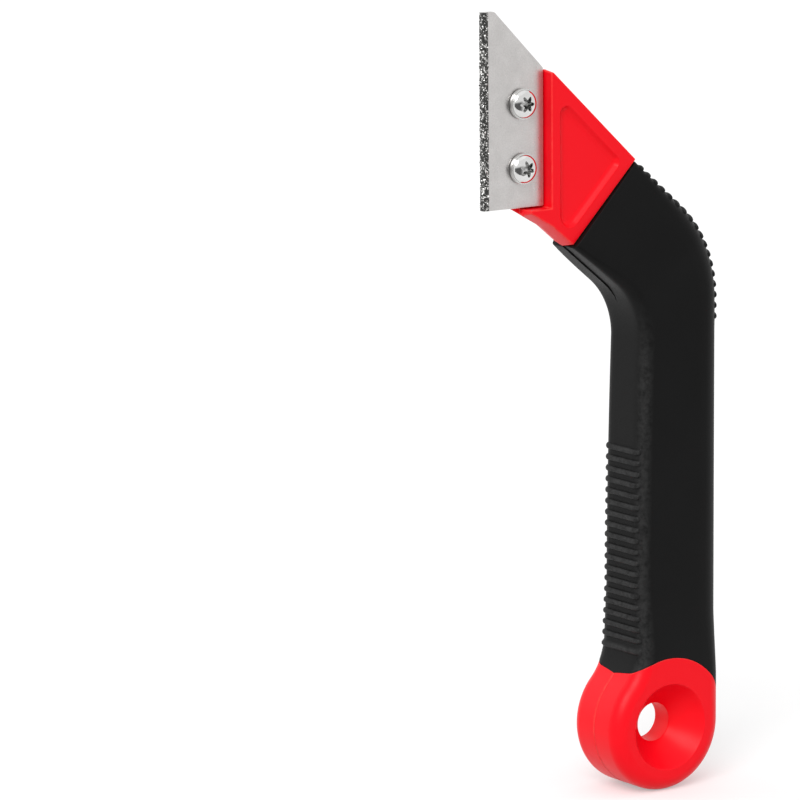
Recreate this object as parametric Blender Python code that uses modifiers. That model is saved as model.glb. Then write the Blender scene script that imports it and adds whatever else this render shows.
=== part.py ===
"""A grout removal tool: a bent two-part moulded handle with a replaceable grit-edged blade.

The tool stands on its eye ring, as it hangs the other way up from a hook. +Z runs up the handle,
+X points to the back of the hand, and the screw heads face -Y. Everything is modelled from the
axis of the eye ring, and one parent empty then centres the tool on the world's origin.
"""

import math

import bmesh
import bpy
from mathutils import Matrix, Vector

mm = 0.001

# Fits and cuts
GAP = 0.3 * mm
OVERRUN = 4.0 * mm
WELD = 0.01 * mm

# Eye ring at the foot of the handle
RING_RADIUS = 17.6 * mm
RING_THICKNESS = 20.6 * mm
RING_EDGE_RADIUS = 4.2 * mm
EYE_MOUTH_RADIUS = 11.6 * mm
EYE_BORE_RADIUS = 5.2 * mm
EYE_BORE_LENGTH = 6.0 * mm
EYE_BOWL_BULGE = 0.4 * mm
SHOULDER_RADIUS = 18.5 * mm

# Grip outline in side view
GRIP_WIDTH = 24.5 * mm
GRIP_TAPER = 1.7 * mm
FLARE_RADIUS = 15.0 * mm
BACK_BEND_HEIGHT = 145.9 * mm
BACK_BEND_RADIUS = 34.0 * mm
BACK_SLOPE = math.radians(42.9)
BACK_SLOPE_LENGTH = 33.4 * mm
FINGER_BEND_HEIGHT = 130.9 * mm
FINGER_BEND_RADIUS = 20.0 * mm
FINGER_SLOPE = math.radians(39.4)
FINGER_SLOPE_LENGTH = 26.5 * mm

# Grip in cross section
GRIP_END_THICKNESS = 9.4 * mm
GRIP_END_FINGER_THICKNESS = 10.8 * mm
GRIP_FINGER_THICKNESS = 17.2 * mm
GRIP_FINGER_RADIUS = 3.5 * mm
GRIP_BACK_RADIUS = 6.0 * mm
GRIP_END_RADIUS = 1.4 * mm
GRIP_GROWTH_LENGTH = 27.0 * mm
SLEEVE_WALL = 2.4 * mm
SPINE_CORNER_RADIUS = 0.6 * mm

# Grip ribs
RIB_RADIUS = 0.75 * mm
RIB_HEIGHT = 0.6 * mm
FINGER_RIBS = 19
FINGER_RIB_PITCH = 2.97 * mm
FINGER_RIB_TOP_HEIGHT = 92.0 * mm
BACK_RIBS = 18
BACK_RIB_PITCH = 2.85 * mm
BACK_RIB_START = 2.9 * mm
RIB_END_SHARE = 0.45
RIB_KNOT_SHARES = (-1, -0.8, -0.5, 0, 0.5, 0.8, 1)

# Head
HEAD_THICKNESS = 8.0 * mm
HEAD_DRAFT = 0.5 * mm
CHIN_DRAFT = 0.9 * mm
HEAD_TOP_STEP = 0.5 * mm
HEAD_TOP_LENGTH = 36.1 * mm
HEAD_TOP_FLAT = 0.7 * mm
CHIN_STEP = 0.85 * mm
CHIN_LENGTH = 8.6 * mm
CHIN_SLOPE = math.radians(29.4)
SEAT_WIDTH = 12.7 * mm
SEAT_HEIGHT = 35.1 * mm
SEAT_DEPTH = 5.0 * mm
LEDGE_WIDTH = 6.7 * mm
POCKET_RIM = 3.2 * mm
POCKET_DEPTH = 1.0 * mm
POCKET_BEVEL = 0.9 * mm
POCKET_CORNER_RADIUS = 2.2 * mm

# Blade and grit
BLADE_LENGTH = 51.0 * mm
BLADE_WIDTH = 18.2 * mm
BLADE_THICKNESS = 1.5 * mm
BLADE_TIP_WIDTH = 2.9 * mm
BLADE_CORNER_RADIUS = 0.6 * mm
BLADE_SIDE_FIT = 0.4 * mm
BLADE_END_FIT = 0.5 * mm
HOLE_RADIUS = 2.8 * mm
HOLE_FROM_BACK = 7.0 * mm
HOLE_FROM_END = 10.2 * mm
HOLE_SPACING = 16.7 * mm
GRIT_DEPTH = 1.7 * mm
GRIT_COAT = 0.35 * mm
GRIT_EDGE_COAT = 1.1 * mm
GRIT_NOSE_SHARE = 0.55
GRIT_ROUGHNESS = 0.12 * mm
GRIT_STATIONS = 44
GRIT_LENGTH_WAVE = 2.1
GRIT_GIRTH_WAVE = 4.7
GRIT_CROSS_WAVE = 1.3

# Screws and nuts
SCREW_HEAD_RADIUS = 4.0 * mm
SCREW_HEAD_HEIGHT = 2.7 * mm
SCREW_HEAD_WALL = 1.0 * mm
SCREW_SHANK_RADIUS = 1.95 * mm
SCREW_LENGTH = 8.0 * mm
SCREW_TIP_CHAMFER = 0.4 * mm
DRIVE_RADIUS = 1.7 * mm
DRIVE_LOBE = 0.3 * mm
DRIVE_DEPTH = 1.5 * mm
DRIVE_LOBES = 6
NUT_ACROSS_FLATS = 7.0 * mm
NUT_THICKNESS = 3.2 * mm
NUT_CHAMFER = 0.4 * mm
NUT_WEB = 1.2 * mm

# Facets
ROUND_STEPS = 48
SMALL_STEPS = 24
CORNER_STEPS = 4
BEND_STEPS = 7
SLOPE_STEPS = 3
STRAIGHT_STEPS = 6
FLARE_STEPS = 5
SMOOTH_ANGLE = math.radians(35)

# Places that follow from the sizes above, in the plane of the handle
RING_CENTRE = Vector((0, RING_RADIUS))
BACK_X = RING_RADIUS
FINGER_X = BACK_X - GRIP_WIDTH
FLARE_X = FINGER_X - GRIP_TAPER
BACK_DIRECTION = Vector((-math.cos(BACK_SLOPE), math.sin(BACK_SLOPE)))
FINGER_DIRECTION = Vector((-math.cos(FINGER_SLOPE), math.sin(FINGER_SLOPE)))
BACK_CORNER = Vector((BACK_X, BACK_BEND_HEIGHT))
FINGER_CORNER = Vector((FINGER_X, FINGER_BEND_HEIGHT))
SEAM_BACK = BACK_CORNER + BACK_DIRECTION * BACK_SLOPE_LENGTH
SEAM_FINGER = FINGER_CORNER + FINGER_DIRECTION * FINGER_SLOPE_LENGTH
SEAM_ALONG = (SEAM_BACK - SEAM_FINGER).normalized()
SEAM_NORMAL = Vector((SEAM_ALONG.y, -SEAM_ALONG.x))
HEAD_SEAM_TOP = SEAM_BACK + Vector((BACK_DIRECTION.y, -BACK_DIRECTION.x)) * HEAD_TOP_STEP
HEAD_SEAM_FOOT = SEAM_FINGER + Vector((FINGER_DIRECTION.y, -FINGER_DIRECTION.x)) * CHIN_STEP
HEAD_TOP = HEAD_SEAM_TOP + BACK_DIRECTION * HEAD_TOP_LENGTH
CHIN = HEAD_SEAM_FOOT + FINGER_DIRECTION * CHIN_LENGTH
CHIN_DIRECTION = Vector((-math.cos(CHIN_SLOPE), math.sin(CHIN_SLOPE)))
WALL_X = HEAD_TOP.x - HEAD_TOP_FLAT
SEAT_LEFT_X = WALL_X - SEAT_WIDTH
LEDGE_HEIGHT = HEAD_TOP.y - SEAT_HEIGHT
HEAD_FACE_Y = -HEAD_THICKNESS / 2
SEAT_Y = HEAD_FACE_Y + SEAT_DEPTH
BLADE_BACK_X = WALL_X - BLADE_SIDE_FIT
BLADE_FOOT = LEDGE_HEIGHT + BLADE_END_FIT
BLADE_REAR_Y = SEAT_Y - GAP
BLADE_FRONT_Y = BLADE_REAR_Y - BLADE_THICKNESS
BLADE_EDGE_X = BLADE_BACK_X - BLADE_WIDTH
GRIT_EDGE_X = BLADE_EDGE_X - GRIT_EDGE_COAT
HOLE_X = BLADE_BACK_X - HOLE_FROM_BACK
HOLE_HEIGHTS = {
    "lower": BLADE_FOOT + HOLE_FROM_END,
    "upper": BLADE_FOOT + HOLE_FROM_END + HOLE_SPACING,
}
SCREW_SEAT_Y = BLADE_FRONT_Y - GAP
NUT_FLOOR_Y = SEAT_Y + NUT_WEB
NUT_CIRCUMRADIUS = NUT_ACROSS_FLATS / 2 / math.cos(math.pi / 6)
OVERALL_BACK_X = BACK_X + RIB_HEIGHT
CENTRE_X = (GRIT_EDGE_X + OVERALL_BACK_X) / 2


def clear_scene():
    for thing in list(bpy.data.objects):
        bpy.data.objects.remove(thing, do_unlink=True)


def new_collection(name):
    collection = bpy.data.collections.new(name)
    bpy.context.scene.collection.children.link(collection)
    return collection


clear_scene()
PARTS = new_collection("grout_removal_tool")
CUTTERS = new_collection("cutters")
ORIGIN = bpy.data.objects.new("tool_origin", None)
ORIGIN.location = (-CENTRE_X, 0, 0)
PARTS.objects.link(ORIGIN)


# Materials

def plain_material(name, colour, roughness, metallic):
    material = bpy.data.materials.new(name)
    material.use_nodes = True
    shader = material.node_tree.nodes["Principled BSDF"]
    shader.inputs["Base Color"].default_value = (*colour, 1)
    shader.inputs["Roughness"].default_value = roughness
    shader.inputs["Metallic"].default_value = metallic
    return material


RED_PLASTIC = plain_material("red_handle_plastic", (0.84, 0.012, 0.02), 0.42, 0)
BLACK_RUBBER = plain_material("black_grip_rubber", (0.017, 0.017, 0.018), 0.6, 0)
BLADE_STEEL = plain_material("blade_steel", (0.56, 0.55, 0.53), 0.45, 1)
CARBIDE = plain_material("brazed_carbide_grit", (0.32, 0.31, 0.3), 0.5, 1)
SCREW_CHROME = plain_material("plated_screw_steel", (0.72, 0.72, 0.71), 0.16, 1)
NUT_ZINC = plain_material("zinc_nut_steel", (0.6, 0.6, 0.58), 0.32, 1)


# Objects and cuts

def place(thing, material, origin=(0, 0, 0)):
    """Puts a part in its collection, under the tool's empty."""
    PARTS.objects.link(thing)
    thing.parent = ORIGIN
    thing.location = origin
    thing.data.materials.clear()
    thing.data.materials.append(material)
    thing.data.shade_smooth()
    thing.data.set_sharp_from_angle(angle=SMOOTH_ANGLE)
    return thing


def place_tool(thing, origin=(0, 0, 0)):
    """Puts a cutter or a joined shape out of sight, under the same empty."""
    CUTTERS.objects.link(thing)
    thing.parent = ORIGIN
    thing.location = origin
    thing.hide_render = True
    thing.display_type = "WIRE"
    return thing


def boolean(target, tool, operation="DIFFERENCE"):
    modifier = target.modifiers.new(tool.name, "BOOLEAN")
    modifier.operation = operation
    modifier.solver = "EXACT"
    modifier.object = tool


def mesh_object(name, bm):
    mesh = bpy.data.meshes.new(name)
    bmesh.ops.recalc_face_normals(bm, faces=bm.faces)
    bm.to_mesh(mesh)
    bm.free()
    return bpy.data.objects.new(name, mesh)


def box(name, low, high):
    bm = bmesh.new()
    size = Vector(high) - Vector(low)
    centre = (Vector(high) + Vector(low)) / 2
    bmesh.ops.create_cube(bm, size=1, matrix=Matrix.Translation(centre) @ Matrix.Diagonal((*size, 1)))
    return mesh_object(name, bm)


def cylinder(name, centre, radius, half_length, steps, middle_y=0):
    """A cylinder along Y round a point of the handle's plane."""
    bm = bmesh.new()
    turn = Matrix.Translation((centre.x, middle_y, centre.y)) @ Matrix.Rotation(math.pi / 2, 4, "X")
    bmesh.ops.create_cone(
        bm, cap_ends=True, segments=steps, radius1=radius, radius2=radius, depth=2 * half_length, matrix=turn
    )
    return mesh_object(name, bm)


def loft(name, rings):
    """A closed skin through rings of equal count."""
    bm = bmesh.new()
    loops = [[bm.verts.new(point) for point in ring] for ring in rings]
    for first, second in zip(loops, loops[1:]):
        for i, corner in enumerate(first):
            j = (i + 1) % len(first)
            bm.faces.new((corner, first[j], second[j], second[i]))
    bm.faces.new(loops[0])
    bm.faces.new(loops[-1])
    return mesh_object(name, bm)


def turned(name, profile, steps):
    """Turns a profile of (radius, y) points, written from the front to the rear, round the Y axis."""
    mesh = bpy.data.meshes.new(name)
    edges = [(i, i + 1) for i in range(len(profile) - 1)]
    mesh.from_pydata([(radius, y, 0) for radius, y in profile], edges, [])
    thing = bpy.data.objects.new(name, mesh)
    screw = thing.modifiers.new("turn", "SCREW")
    screw.axis = "Y"
    screw.steps = steps
    screw.render_steps = steps
    screw.use_merge_vertices = True
    screw.merge_threshold = WELD
    screw.use_normal_flip = True
    return thing


def flat_plate(name, outline, half_thickness, round_depth=0, round_steps=0):
    """Extrudes an outline of the handle's plane along Y. A rounded edge stands out past the outline."""
    curve = bpy.data.curves.new(name, "CURVE")
    curve.dimensions = "2D"
    curve.fill_mode = "BOTH"
    curve.extrude = half_thickness - round_depth
    curve.bevel_depth = round_depth
    curve.bevel_resolution = round_steps
    spline = curve.splines.new("POLY")
    spline.points.add(len(outline) - 1)
    for point, place_2d in zip(spline.points, outline):
        point.co = (place_2d.x, place_2d.y, 0, 1)
    spline.use_cyclic_u = True
    return curve_to_mesh(curve, Matrix.Rotation(math.pi / 2, 4, "X"))


def curve_to_mesh(curve, matrix):
    """Makes a curve's solid a welded mesh, in place."""
    name = curve.name
    holder = bpy.data.objects.new(name + "_curve", curve)
    CUTTERS.objects.link(holder)
    bpy.context.view_layer.update()
    evaluated = holder.evaluated_get(bpy.context.evaluated_depsgraph_get())
    mesh = bpy.data.meshes.new_from_object(evaluated)
    bpy.data.objects.remove(holder)
    mesh.transform(matrix)
    bm = bmesh.new()
    bm.from_mesh(mesh)
    bpy.data.meshes.remove(mesh)
    bmesh.ops.remove_doubles(bm, verts=bm.verts, dist=WELD)
    return mesh_object(name, bm)


# Plane geometry

def arc(centre, radius, start, end, steps):
    """Points of an arc, both ends included."""
    angles = [start + (end - start) * i / steps for i in range(steps + 1)]
    return [centre + radius * Vector((math.cos(a), math.sin(a))) for a in angles]


def line(start, end, steps):
    return [start.lerp(end, i / steps) for i in range(steps + 1)]


def crossing(point_a, along_a, point_b, along_b):
    """Where two lines of the plane cross."""
    share = (point_b - point_a).cross(along_b) / along_a.cross(along_b)
    return point_a + along_a * share


def inset(outline, distances):
    """Moves each side of a counter-clockwise outline inwards by its own distance."""
    moved = []
    for i, corner in enumerate(outline):
        along = (outline[(i + 1) % len(outline)] - corner).normalized()
        moved.append((corner + distances[i] * Vector((-along.y, along.x)), along))
    return [crossing(*moved[i - 1], *moved[i]) for i in range(len(moved))]


def rounded(outline, radius, steps):
    """Rounds every corner of an outline."""
    points = []
    for i, corner in enumerate(outline):
        back = (outline[i - 1] - corner).normalized()
        ahead = (outline[(i + 1) % len(outline)] - corner).normalized()
        half_angle = back.angle(ahead) / 2
        centre = corner + (back + ahead).normalized() * radius / math.sin(half_angle)
        reach = radius / math.tan(half_angle)
        first = corner + back * reach - centre
        last = corner + ahead * reach - centre
        turn = first.angle_signed(last)
        points += [centre + Matrix.Rotation(-turn * k / steps, 2) @ first for k in range(steps + 1)]
    return points


def in_space(point, y):
    return Vector((point.x, y, point.y))


# Grip

def bend_start(slope, radius):
    """How far from its corner a bend starts, between the slope and the upright."""
    return radius * math.tan((math.pi / 2 - slope) / 2)


def rail(corner, direction, slope, slope_length, radius, foot, overrun):
    """One edge of the grip in side view, from above the seam down to the flare."""
    reach = bend_start(slope, radius)
    top = corner + direction * (slope_length + overrun)
    start = corner + direction * reach
    end = corner - Vector((0, reach))
    middle = end - Vector((radius, 0))
    bend = arc(middle, radius, math.pi / 2 - slope, 0, BEND_STEPS)
    return line(top, start, SLOPE_STEPS) + bend[1:] + eased(end, foot, STRAIGHT_STEPS)[1:]


def eased(start, end, steps):
    """A run that leans most at its start and ends upright."""
    points = []
    for i in range(1 + steps):
        share = i / steps
        lean = 1 - (1 - share) ** 2
        points.append(Vector((start.x + (end.x - start.x) * lean, start.y + (end.y - start.y) * share)))
    return points


def flare_centre():
    """The flare's arc touches the grip's front and the ring, so its centre follows from both."""
    x = FLARE_X - FLARE_RADIUS
    away = RING_RADIUS + FLARE_RADIUS
    return Vector((x, RING_CENTRE.y + math.sqrt(away * away - x * x)))


def flare_angles():
    """Where the flare touches the ring, as an angle at the flare's centre."""
    towards = RING_CENTRE - flare_centre()
    return math.atan2(towards.y, towards.x)


def grip_stations(overrun=0):
    """Pairs of finger and back points, with the grip's half thicknesses and corner radii at each."""
    centre = flare_centre()
    touch = flare_angles()
    finger = rail(
        FINGER_CORNER, FINGER_DIRECTION, FINGER_SLOPE, FINGER_SLOPE_LENGTH,
        FINGER_BEND_RADIUS, Vector((FLARE_X, centre.y)), overrun,
    )
    back = rail(
        BACK_CORNER, BACK_DIRECTION, BACK_SLOPE, BACK_SLOPE_LENGTH,
        BACK_BEND_RADIUS, Vector((BACK_X, centre.y)), overrun,
    )
    finger += arc(centre, FLARE_RADIUS, 0, touch, FLARE_STEPS)[1:]
    back += line(back[-1], Vector((BACK_X, finger[-1].y)), FLARE_STEPS)[1:]
    foot = Vector((0, RING_CENTRE.y))
    finger.append(foot - Vector((RING_RADIUS, 0)))
    back.append(foot + Vector((BACK_X, 0)))
    return [station(f, b) for f, b in zip(finger, back)]


def grow(start, full, end, grown, meet):
    """A size that grows from the seam to the bend and then meets the ring's."""
    size = start + (full - start) * grown
    return size + (end - size) * meet


def station(finger, back):
    """The grip is thinner along the fingers than along the back, and meets the ring's thickness."""
    away = max(0, ((finger + back) / 2 - (SEAM_FINGER + SEAM_BACK) / 2).dot(SEAM_NORMAL))
    rise = min(1, away / GRIP_GROWTH_LENGTH)
    early = rise * (2 - rise)
    grown = rise * rise * (3 - 2 * rise)
    top = flare_centre().y + FLARE_RADIUS
    low = SHOULDER_RADIUS + RING_CENTRE.y
    meet = min(1, max(0, (top - min(finger.y, back.y)) / (top - low)))
    thin = grow(GRIP_END_FINGER_THICKNESS, GRIP_FINGER_THICKNESS, RING_THICKNESS, early, meet) / 2
    thick = grow(GRIP_END_THICKNESS, RING_THICKNESS, RING_THICKNESS, grown, meet) / 2
    finger_radius = grow(GRIP_END_RADIUS, GRIP_FINGER_RADIUS, RING_EDGE_RADIUS, grown, meet)
    back_radius = grow(GRIP_END_RADIUS, GRIP_BACK_RADIUS, RING_EDGE_RADIUS, grown, meet)
    return finger, back, thin, thick, finger_radius, back_radius


def section(finger, back, thin, thick, finger_radius, back_radius, inwards=0):
    """A rounded outline from the finger side to the back, set in by a wall."""
    along = (back - finger).normalized()
    width = (back - finger).length
    front_reach = max(finger_radius, inwards + SPINE_CORNER_RADIUS)
    back_reach = max(back_radius, inwards + SPINE_CORNER_RADIUS)
    corners = [
        (width - back_reach, thick - back_reach, back_reach, 0),
        (front_reach, thin - front_reach, front_reach, 1),
        (front_reach, front_reach - thin, front_reach, 2),
        (width - back_reach, back_reach - thick, back_reach, 3),
    ]
    ring = []
    for across, depth, radius, quarter in corners:
        for k in range(CORNER_STEPS + 1):
            angle = (quarter + k / CORNER_STEPS) * math.pi / 2
            reach = radius - inwards
            flat = finger + along * (across + reach * math.cos(angle))
            ring.append(in_space(flat, depth + reach * math.sin(angle)))
    return ring


def grip_loft(name, inwards=0, overrun=0):
    return loft(name, [section(*numbers, inwards) for numbers in grip_stations(overrun)])


def rib_points(edge, opposite, half, radius):
    """A rib's middle line over one edge of a section, from side to side."""
    outward = (edge - opposite).normalized()
    reach = half - radius * RIB_END_SHARE
    flat = half - radius
    sunk = RIB_RADIUS - RIB_HEIGHT
    points = []
    for share in RIB_KNOT_SHARES:
        y = reach * share
        past = max(0, abs(y) - flat)
        lean = math.asin(past / radius)
        drop = radius - (radius - sunk) * math.cos(lean)
        points.append(in_space(edge - outward * drop, math.copysign(abs(y) - sunk * math.sin(lean), y)))
    return points


def along_stations(distance):
    """The section of the grip whose back lies this far down from the seam."""
    stations = grip_stations()
    for first, second in zip(stations, stations[1:]):
        step = (second[1] - first[1]).length
        if distance <= step:
            share = distance / step
            return between(first, second, share)
        distance -= step
    return stations[-1]


def at_height(height):
    """The section of the grip whose finger side lies at this height."""
    stations = grip_stations()
    for first, second in zip(stations, stations[1:]):
        if first[0].y >= height >= second[0].y:
            return between(first, second, (first[0].y - height) / (first[0].y - second[0].y))
    return stations[-1]


def between(first, second, share):
    return tuple(a + (b - a) * share for a, b in zip(first, second))


def rib_tubes(name, lines):
    curve = bpy.data.curves.new(name, "CURVE")
    curve.dimensions = "3D"
    curve.bevel_depth = RIB_RADIUS
    curve.bevel_resolution = 1
    curve.use_fill_caps = True
    for points in lines:
        spline = curve.splines.new("POLY")
        spline.points.add(len(points) - 1)
        for knot, point in zip(spline.points, points):
            knot.co = (*point, 1)
    return curve_to_mesh(curve, Matrix.Identity(4))


def make_ribs():
    lines = []
    for i in range(FINGER_RIBS):
        finger, back, thin, _, radius, _ = at_height(FINGER_RIB_TOP_HEIGHT - i * FINGER_RIB_PITCH)
        lines.append(rib_points(finger, back, thin, radius))
    for i in range(BACK_RIBS):
        finger, back, _, thick, _, radius = along_stations(BACK_RIB_START + i * BACK_RIB_PITCH)
        lines.append(rib_points(back, finger, thick, radius))
    return place_tool(rib_tubes("grip_ribs", lines))


def seam_block(name, side):
    """A block on one side of the seam: 1 is the grip's side, -1 the head's."""
    length = BACK_SLOPE_LENGTH + HEAD_TOP_LENGTH
    start = (SEAM_FINGER + SEAM_BACK) / 2 - SEAM_NORMAL * side * GAP / 2
    corners = [
        start - SEAM_ALONG * length,
        start + SEAM_ALONG * length,
        start + SEAM_ALONG * length + SEAM_NORMAL * side * length,
        start - SEAM_ALONG * length + SEAM_NORMAL * side * length,
    ]
    return place_tool(flat_plate(name, corners, RING_THICKNESS))


def make_sleeve():
    sleeve = place(grip_loft("grip_sleeve", 0, OVERRUN), BLACK_RUBBER)
    boolean(sleeve, make_ribs(), "UNION")
    boolean(sleeve, seam_block("sleeve_seam_cut", -1))
    foot = cylinder("sleeve_foot_cut", RING_CENTRE, SHOULDER_RADIUS + GAP, RING_THICKNESS, ROUND_STEPS)
    boolean(sleeve, place_tool(foot))
    boolean(sleeve, place_tool(grip_loft("sleeve_bore", SLEEVE_WALL - GAP, 2 * OVERRUN)))
    return sleeve


# Handle core

def head_outline():
    """The head in side view, counter-clockwise from its top corner."""
    low_left = crossing(CHIN, CHIN_DIRECTION, Vector((SEAT_LEFT_X, 0)), Vector((0, 1)))
    return [
        HEAD_TOP,
        Vector((SEAT_LEFT_X, HEAD_TOP.y)),
        low_left,
        CHIN,
        HEAD_SEAM_FOOT - FINGER_DIRECTION * OVERRUN,
        HEAD_SEAM_TOP - BACK_DIRECTION * OVERRUN,
    ]


def make_head():
    """Mould draft makes the head widest at its middle plane, most of all under the chin."""
    outline = head_outline()
    wide = inset(outline, [-HEAD_DRAFT, 0, -CHIN_DRAFT, -CHIN_DRAFT, 0, -HEAD_DRAFT])
    half = HEAD_THICKNESS / 2
    rings = [[in_space(p, y) for p in ring] for ring, y in ((outline, -half), (wide, 0), (outline, half))]
    return place(loft("handle_core", rings), RED_PLASTIC)


def make_ring_plate():
    """The eye ring with the neck that runs up to the grip, as one plate with rounded edges."""
    centre = flare_centre()
    touch = flare_angles()
    low = RING_RADIUS - RING_EDGE_RADIUS
    outline = arc(RING_CENTRE, low, math.tau, touch + math.pi, ROUND_STEPS)
    outline += arc(centre, FLARE_RADIUS + RING_EDGE_RADIUS, touch, 0, FLARE_STEPS)[1:]
    outline.append(Vector((BACK_X - RING_EDGE_RADIUS, centre.y)))
    plate = flat_plate("ring_plate", outline, RING_THICKNESS / 2, RING_EDGE_RADIUS, CORNER_STEPS - 1)
    shoulder = cylinder("ring_shoulder", RING_CENTRE, SHOULDER_RADIUS, RING_THICKNESS, ROUND_STEPS)
    boolean(plate, place_tool(shoulder), "INTERSECT")
    return place_tool(plate)


def make_eye_cutter():
    """The bore through the eye and a bowl on each side of it, turned in one piece."""
    half = RING_THICKNESS / 2
    web = EYE_BORE_LENGTH / 2
    slope = (EYE_MOUTH_RADIUS - EYE_BORE_RADIUS) / (half - web)
    wide = EYE_MOUTH_RADIUS + slope * OVERRUN
    bowl = []
    for k in range(CORNER_STEPS + 1):
        share = k / CORNER_STEPS
        bulge = EYE_BOWL_BULGE * math.sin(math.pi * share)
        radius = EYE_BORE_RADIUS + (EYE_MOUTH_RADIUS - EYE_BORE_RADIUS) * share
        bowl.append((radius + bulge, web + (half - web) * share))
    front = [(0, -half - OVERRUN), (wide, -half - OVERRUN)] + [(r, -y) for r, y in reversed(bowl)]
    rear = bowl + [(wide, half + OVERRUN), (0, half + OVERRUN)]
    cutter = turned("eye_cutter", front + rear, ROUND_STEPS)
    return place_tool(cutter, in_space(RING_CENTRE, 0))


def pocket_outline():
    """The triangle inside the head's rim, counter-clockwise from its right corner."""
    foot = crossing(Vector((WALL_X, 0)), Vector((0, 1)), SEAM_BACK, SEAM_ALONG)
    top = crossing(Vector((WALL_X, 0)), Vector((0, 1)), HEAD_SEAM_TOP, BACK_DIRECTION)
    corner = crossing(SEAM_BACK, SEAM_ALONG, HEAD_SEAM_TOP, BACK_DIRECTION)
    return inset([corner, top, foot], [POCKET_RIM] * 3)


def make_pocket(name, side):
    """A shallow recess with sloping walls in one side of the head: -1 is the screw side."""
    mouth = pocket_outline()
    face = HEAD_THICKNESS / 2
    slope = POCKET_BEVEL / POCKET_DEPTH
    rings = []
    for depth in (POCKET_DEPTH, -OVERRUN / 4):
        points = inset(mouth, [slope * depth] * 3)
        radius = POCKET_CORNER_RADIUS - slope * depth
        rings.append([in_space(p, side * (face - depth)) for p in rounded(points, radius, CORNER_STEPS)])
    return place_tool(loft(name, rings))


def cut_seat(core):
    """The step that the blade lies in, and the end of its ledge."""
    above = HEAD_TOP.y + OVERRUN
    left = SEAT_LEFT_X - OVERRUN
    front = HEAD_FACE_Y - OVERRUN
    seat = box("seat_cut", (left, front, LEDGE_HEIGHT), (WALL_X, SEAT_Y, above))
    end = box("ledge_cut", (left, front, CHIN.y), (WALL_X - LEDGE_WIDTH, SEAT_Y, LEDGE_HEIGHT + OVERRUN))
    boolean(core, place_tool(seat))
    boolean(core, place_tool(end))


def cut_screw_holes(core):
    for level, height in HOLE_HEIGHTS.items():
        spot = Vector((HOLE_X, height))
        shank = cylinder(
            "shank_hole_" + level, spot, SCREW_SHANK_RADIUS + GAP, HEAD_THICKNESS, SMALL_STEPS
        )
        boolean(core, place_tool(shank))
        deep = HEAD_THICKNESS / 2 - NUT_FLOOR_Y + OVERRUN
        pocket = cylinder(
            "nut_pocket_" + level, spot, NUT_CIRCUMRADIUS + GAP / math.cos(math.pi / 6),
            deep / 2, 6, NUT_FLOOR_Y + deep / 2,
        )
        boolean(core, place_tool(pocket))


def make_core():
    core = make_head()
    boolean(core, seam_block("head_seam_cut", 1))
    boolean(core, place_tool(grip_loft("spine", SLEEVE_WALL, OVERRUN)), "UNION")
    boolean(core, make_ring_plate(), "UNION")
    boolean(core, make_eye_cutter())
    boolean(core, make_pocket("pocket_front", -1))
    boolean(core, make_pocket("pocket_rear", 1))
    cut_seat(core)
    cut_screw_holes(core)
    return core


# Blade

def make_blade():
    """A steel plate, square at its foot and cut off at 45 degrees at its tip."""
    top = BLADE_FOOT + BLADE_LENGTH
    slant = BLADE_WIDTH - BLADE_TIP_WIDTH
    corners = [
        Vector((BLADE_BACK_X, BLADE_FOOT)),
        Vector((BLADE_BACK_X, top - slant)),
        Vector((BLADE_EDGE_X + BLADE_TIP_WIDTH, top)),
        Vector((BLADE_EDGE_X, top)),
        Vector((BLADE_EDGE_X, BLADE_FOOT)),
    ]
    outline = rounded(corners, BLADE_CORNER_RADIUS, 2)
    plate = flat_plate("blade_plate", outline, BLADE_THICKNESS / 2)
    place(plate, BLADE_STEEL, (0, (BLADE_FRONT_Y + BLADE_REAR_Y) / 2, 0))
    for level, height in HOLE_HEIGHTS.items():
        hole = cylinder(
            "blade_hole_" + level, Vector((HOLE_X, height)), HOLE_RADIUS, HEAD_THICKNESS, SMALL_STEPS
        )
        boolean(plate, place_tool(hole))
    return plate


def grit_lump(station_index, point_index):
    """How far a point of the coat lies under its full height, repeatably uneven."""
    angle = GRIT_LENGTH_WAVE * station_index + GRIT_GIRTH_WAVE * point_index
    return GRIT_ROUGHNESS * (1 - math.sin(angle) * math.cos(GRIT_CROSS_WAVE * angle))


def make_grit():
    """The coat of grit runs along the working edge and wraps round it, as a lumpy channel."""
    half = BLADE_THICKNESS / 2 + GAP
    outer = half + GRIT_COAT
    nose = outer * GRIT_NOSE_SHARE
    coat = [
        (GRIT_DEPTH, -outer), (GRIT_DEPTH / 2, -outer), (0, -outer), (-GRIT_EDGE_COAT, -nose),
        (-GRIT_EDGE_COAT, nose), (0, outer), (GRIT_DEPTH / 2, outer), (GRIT_DEPTH, outer),
    ]
    inside = [(GRIT_DEPTH, half), (-GAP, half), (-GAP, -half), (GRIT_DEPTH, -half)]
    rings = []
    for i in range(GRIT_STATIONS + 1):
        height = BLADE_FOOT + BLADE_LENGTH * i / GRIT_STATIONS
        ring = []
        for k, (across, y) in enumerate(coat):
            low = grit_lump(i, k)
            edge = low if across < 0 else 0
            ring.append((BLADE_EDGE_X + across + edge, y - math.copysign(low, y), height))
        ring += [(BLADE_EDGE_X + across, y, height) for across, y in inside]
        rings.append(ring)
    grit = loft("carbide_grit", rings)
    return place(grit, CARBIDE, (0, (BLADE_FRONT_Y + BLADE_REAR_Y) / 2, 0))


# Screws and nuts

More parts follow.
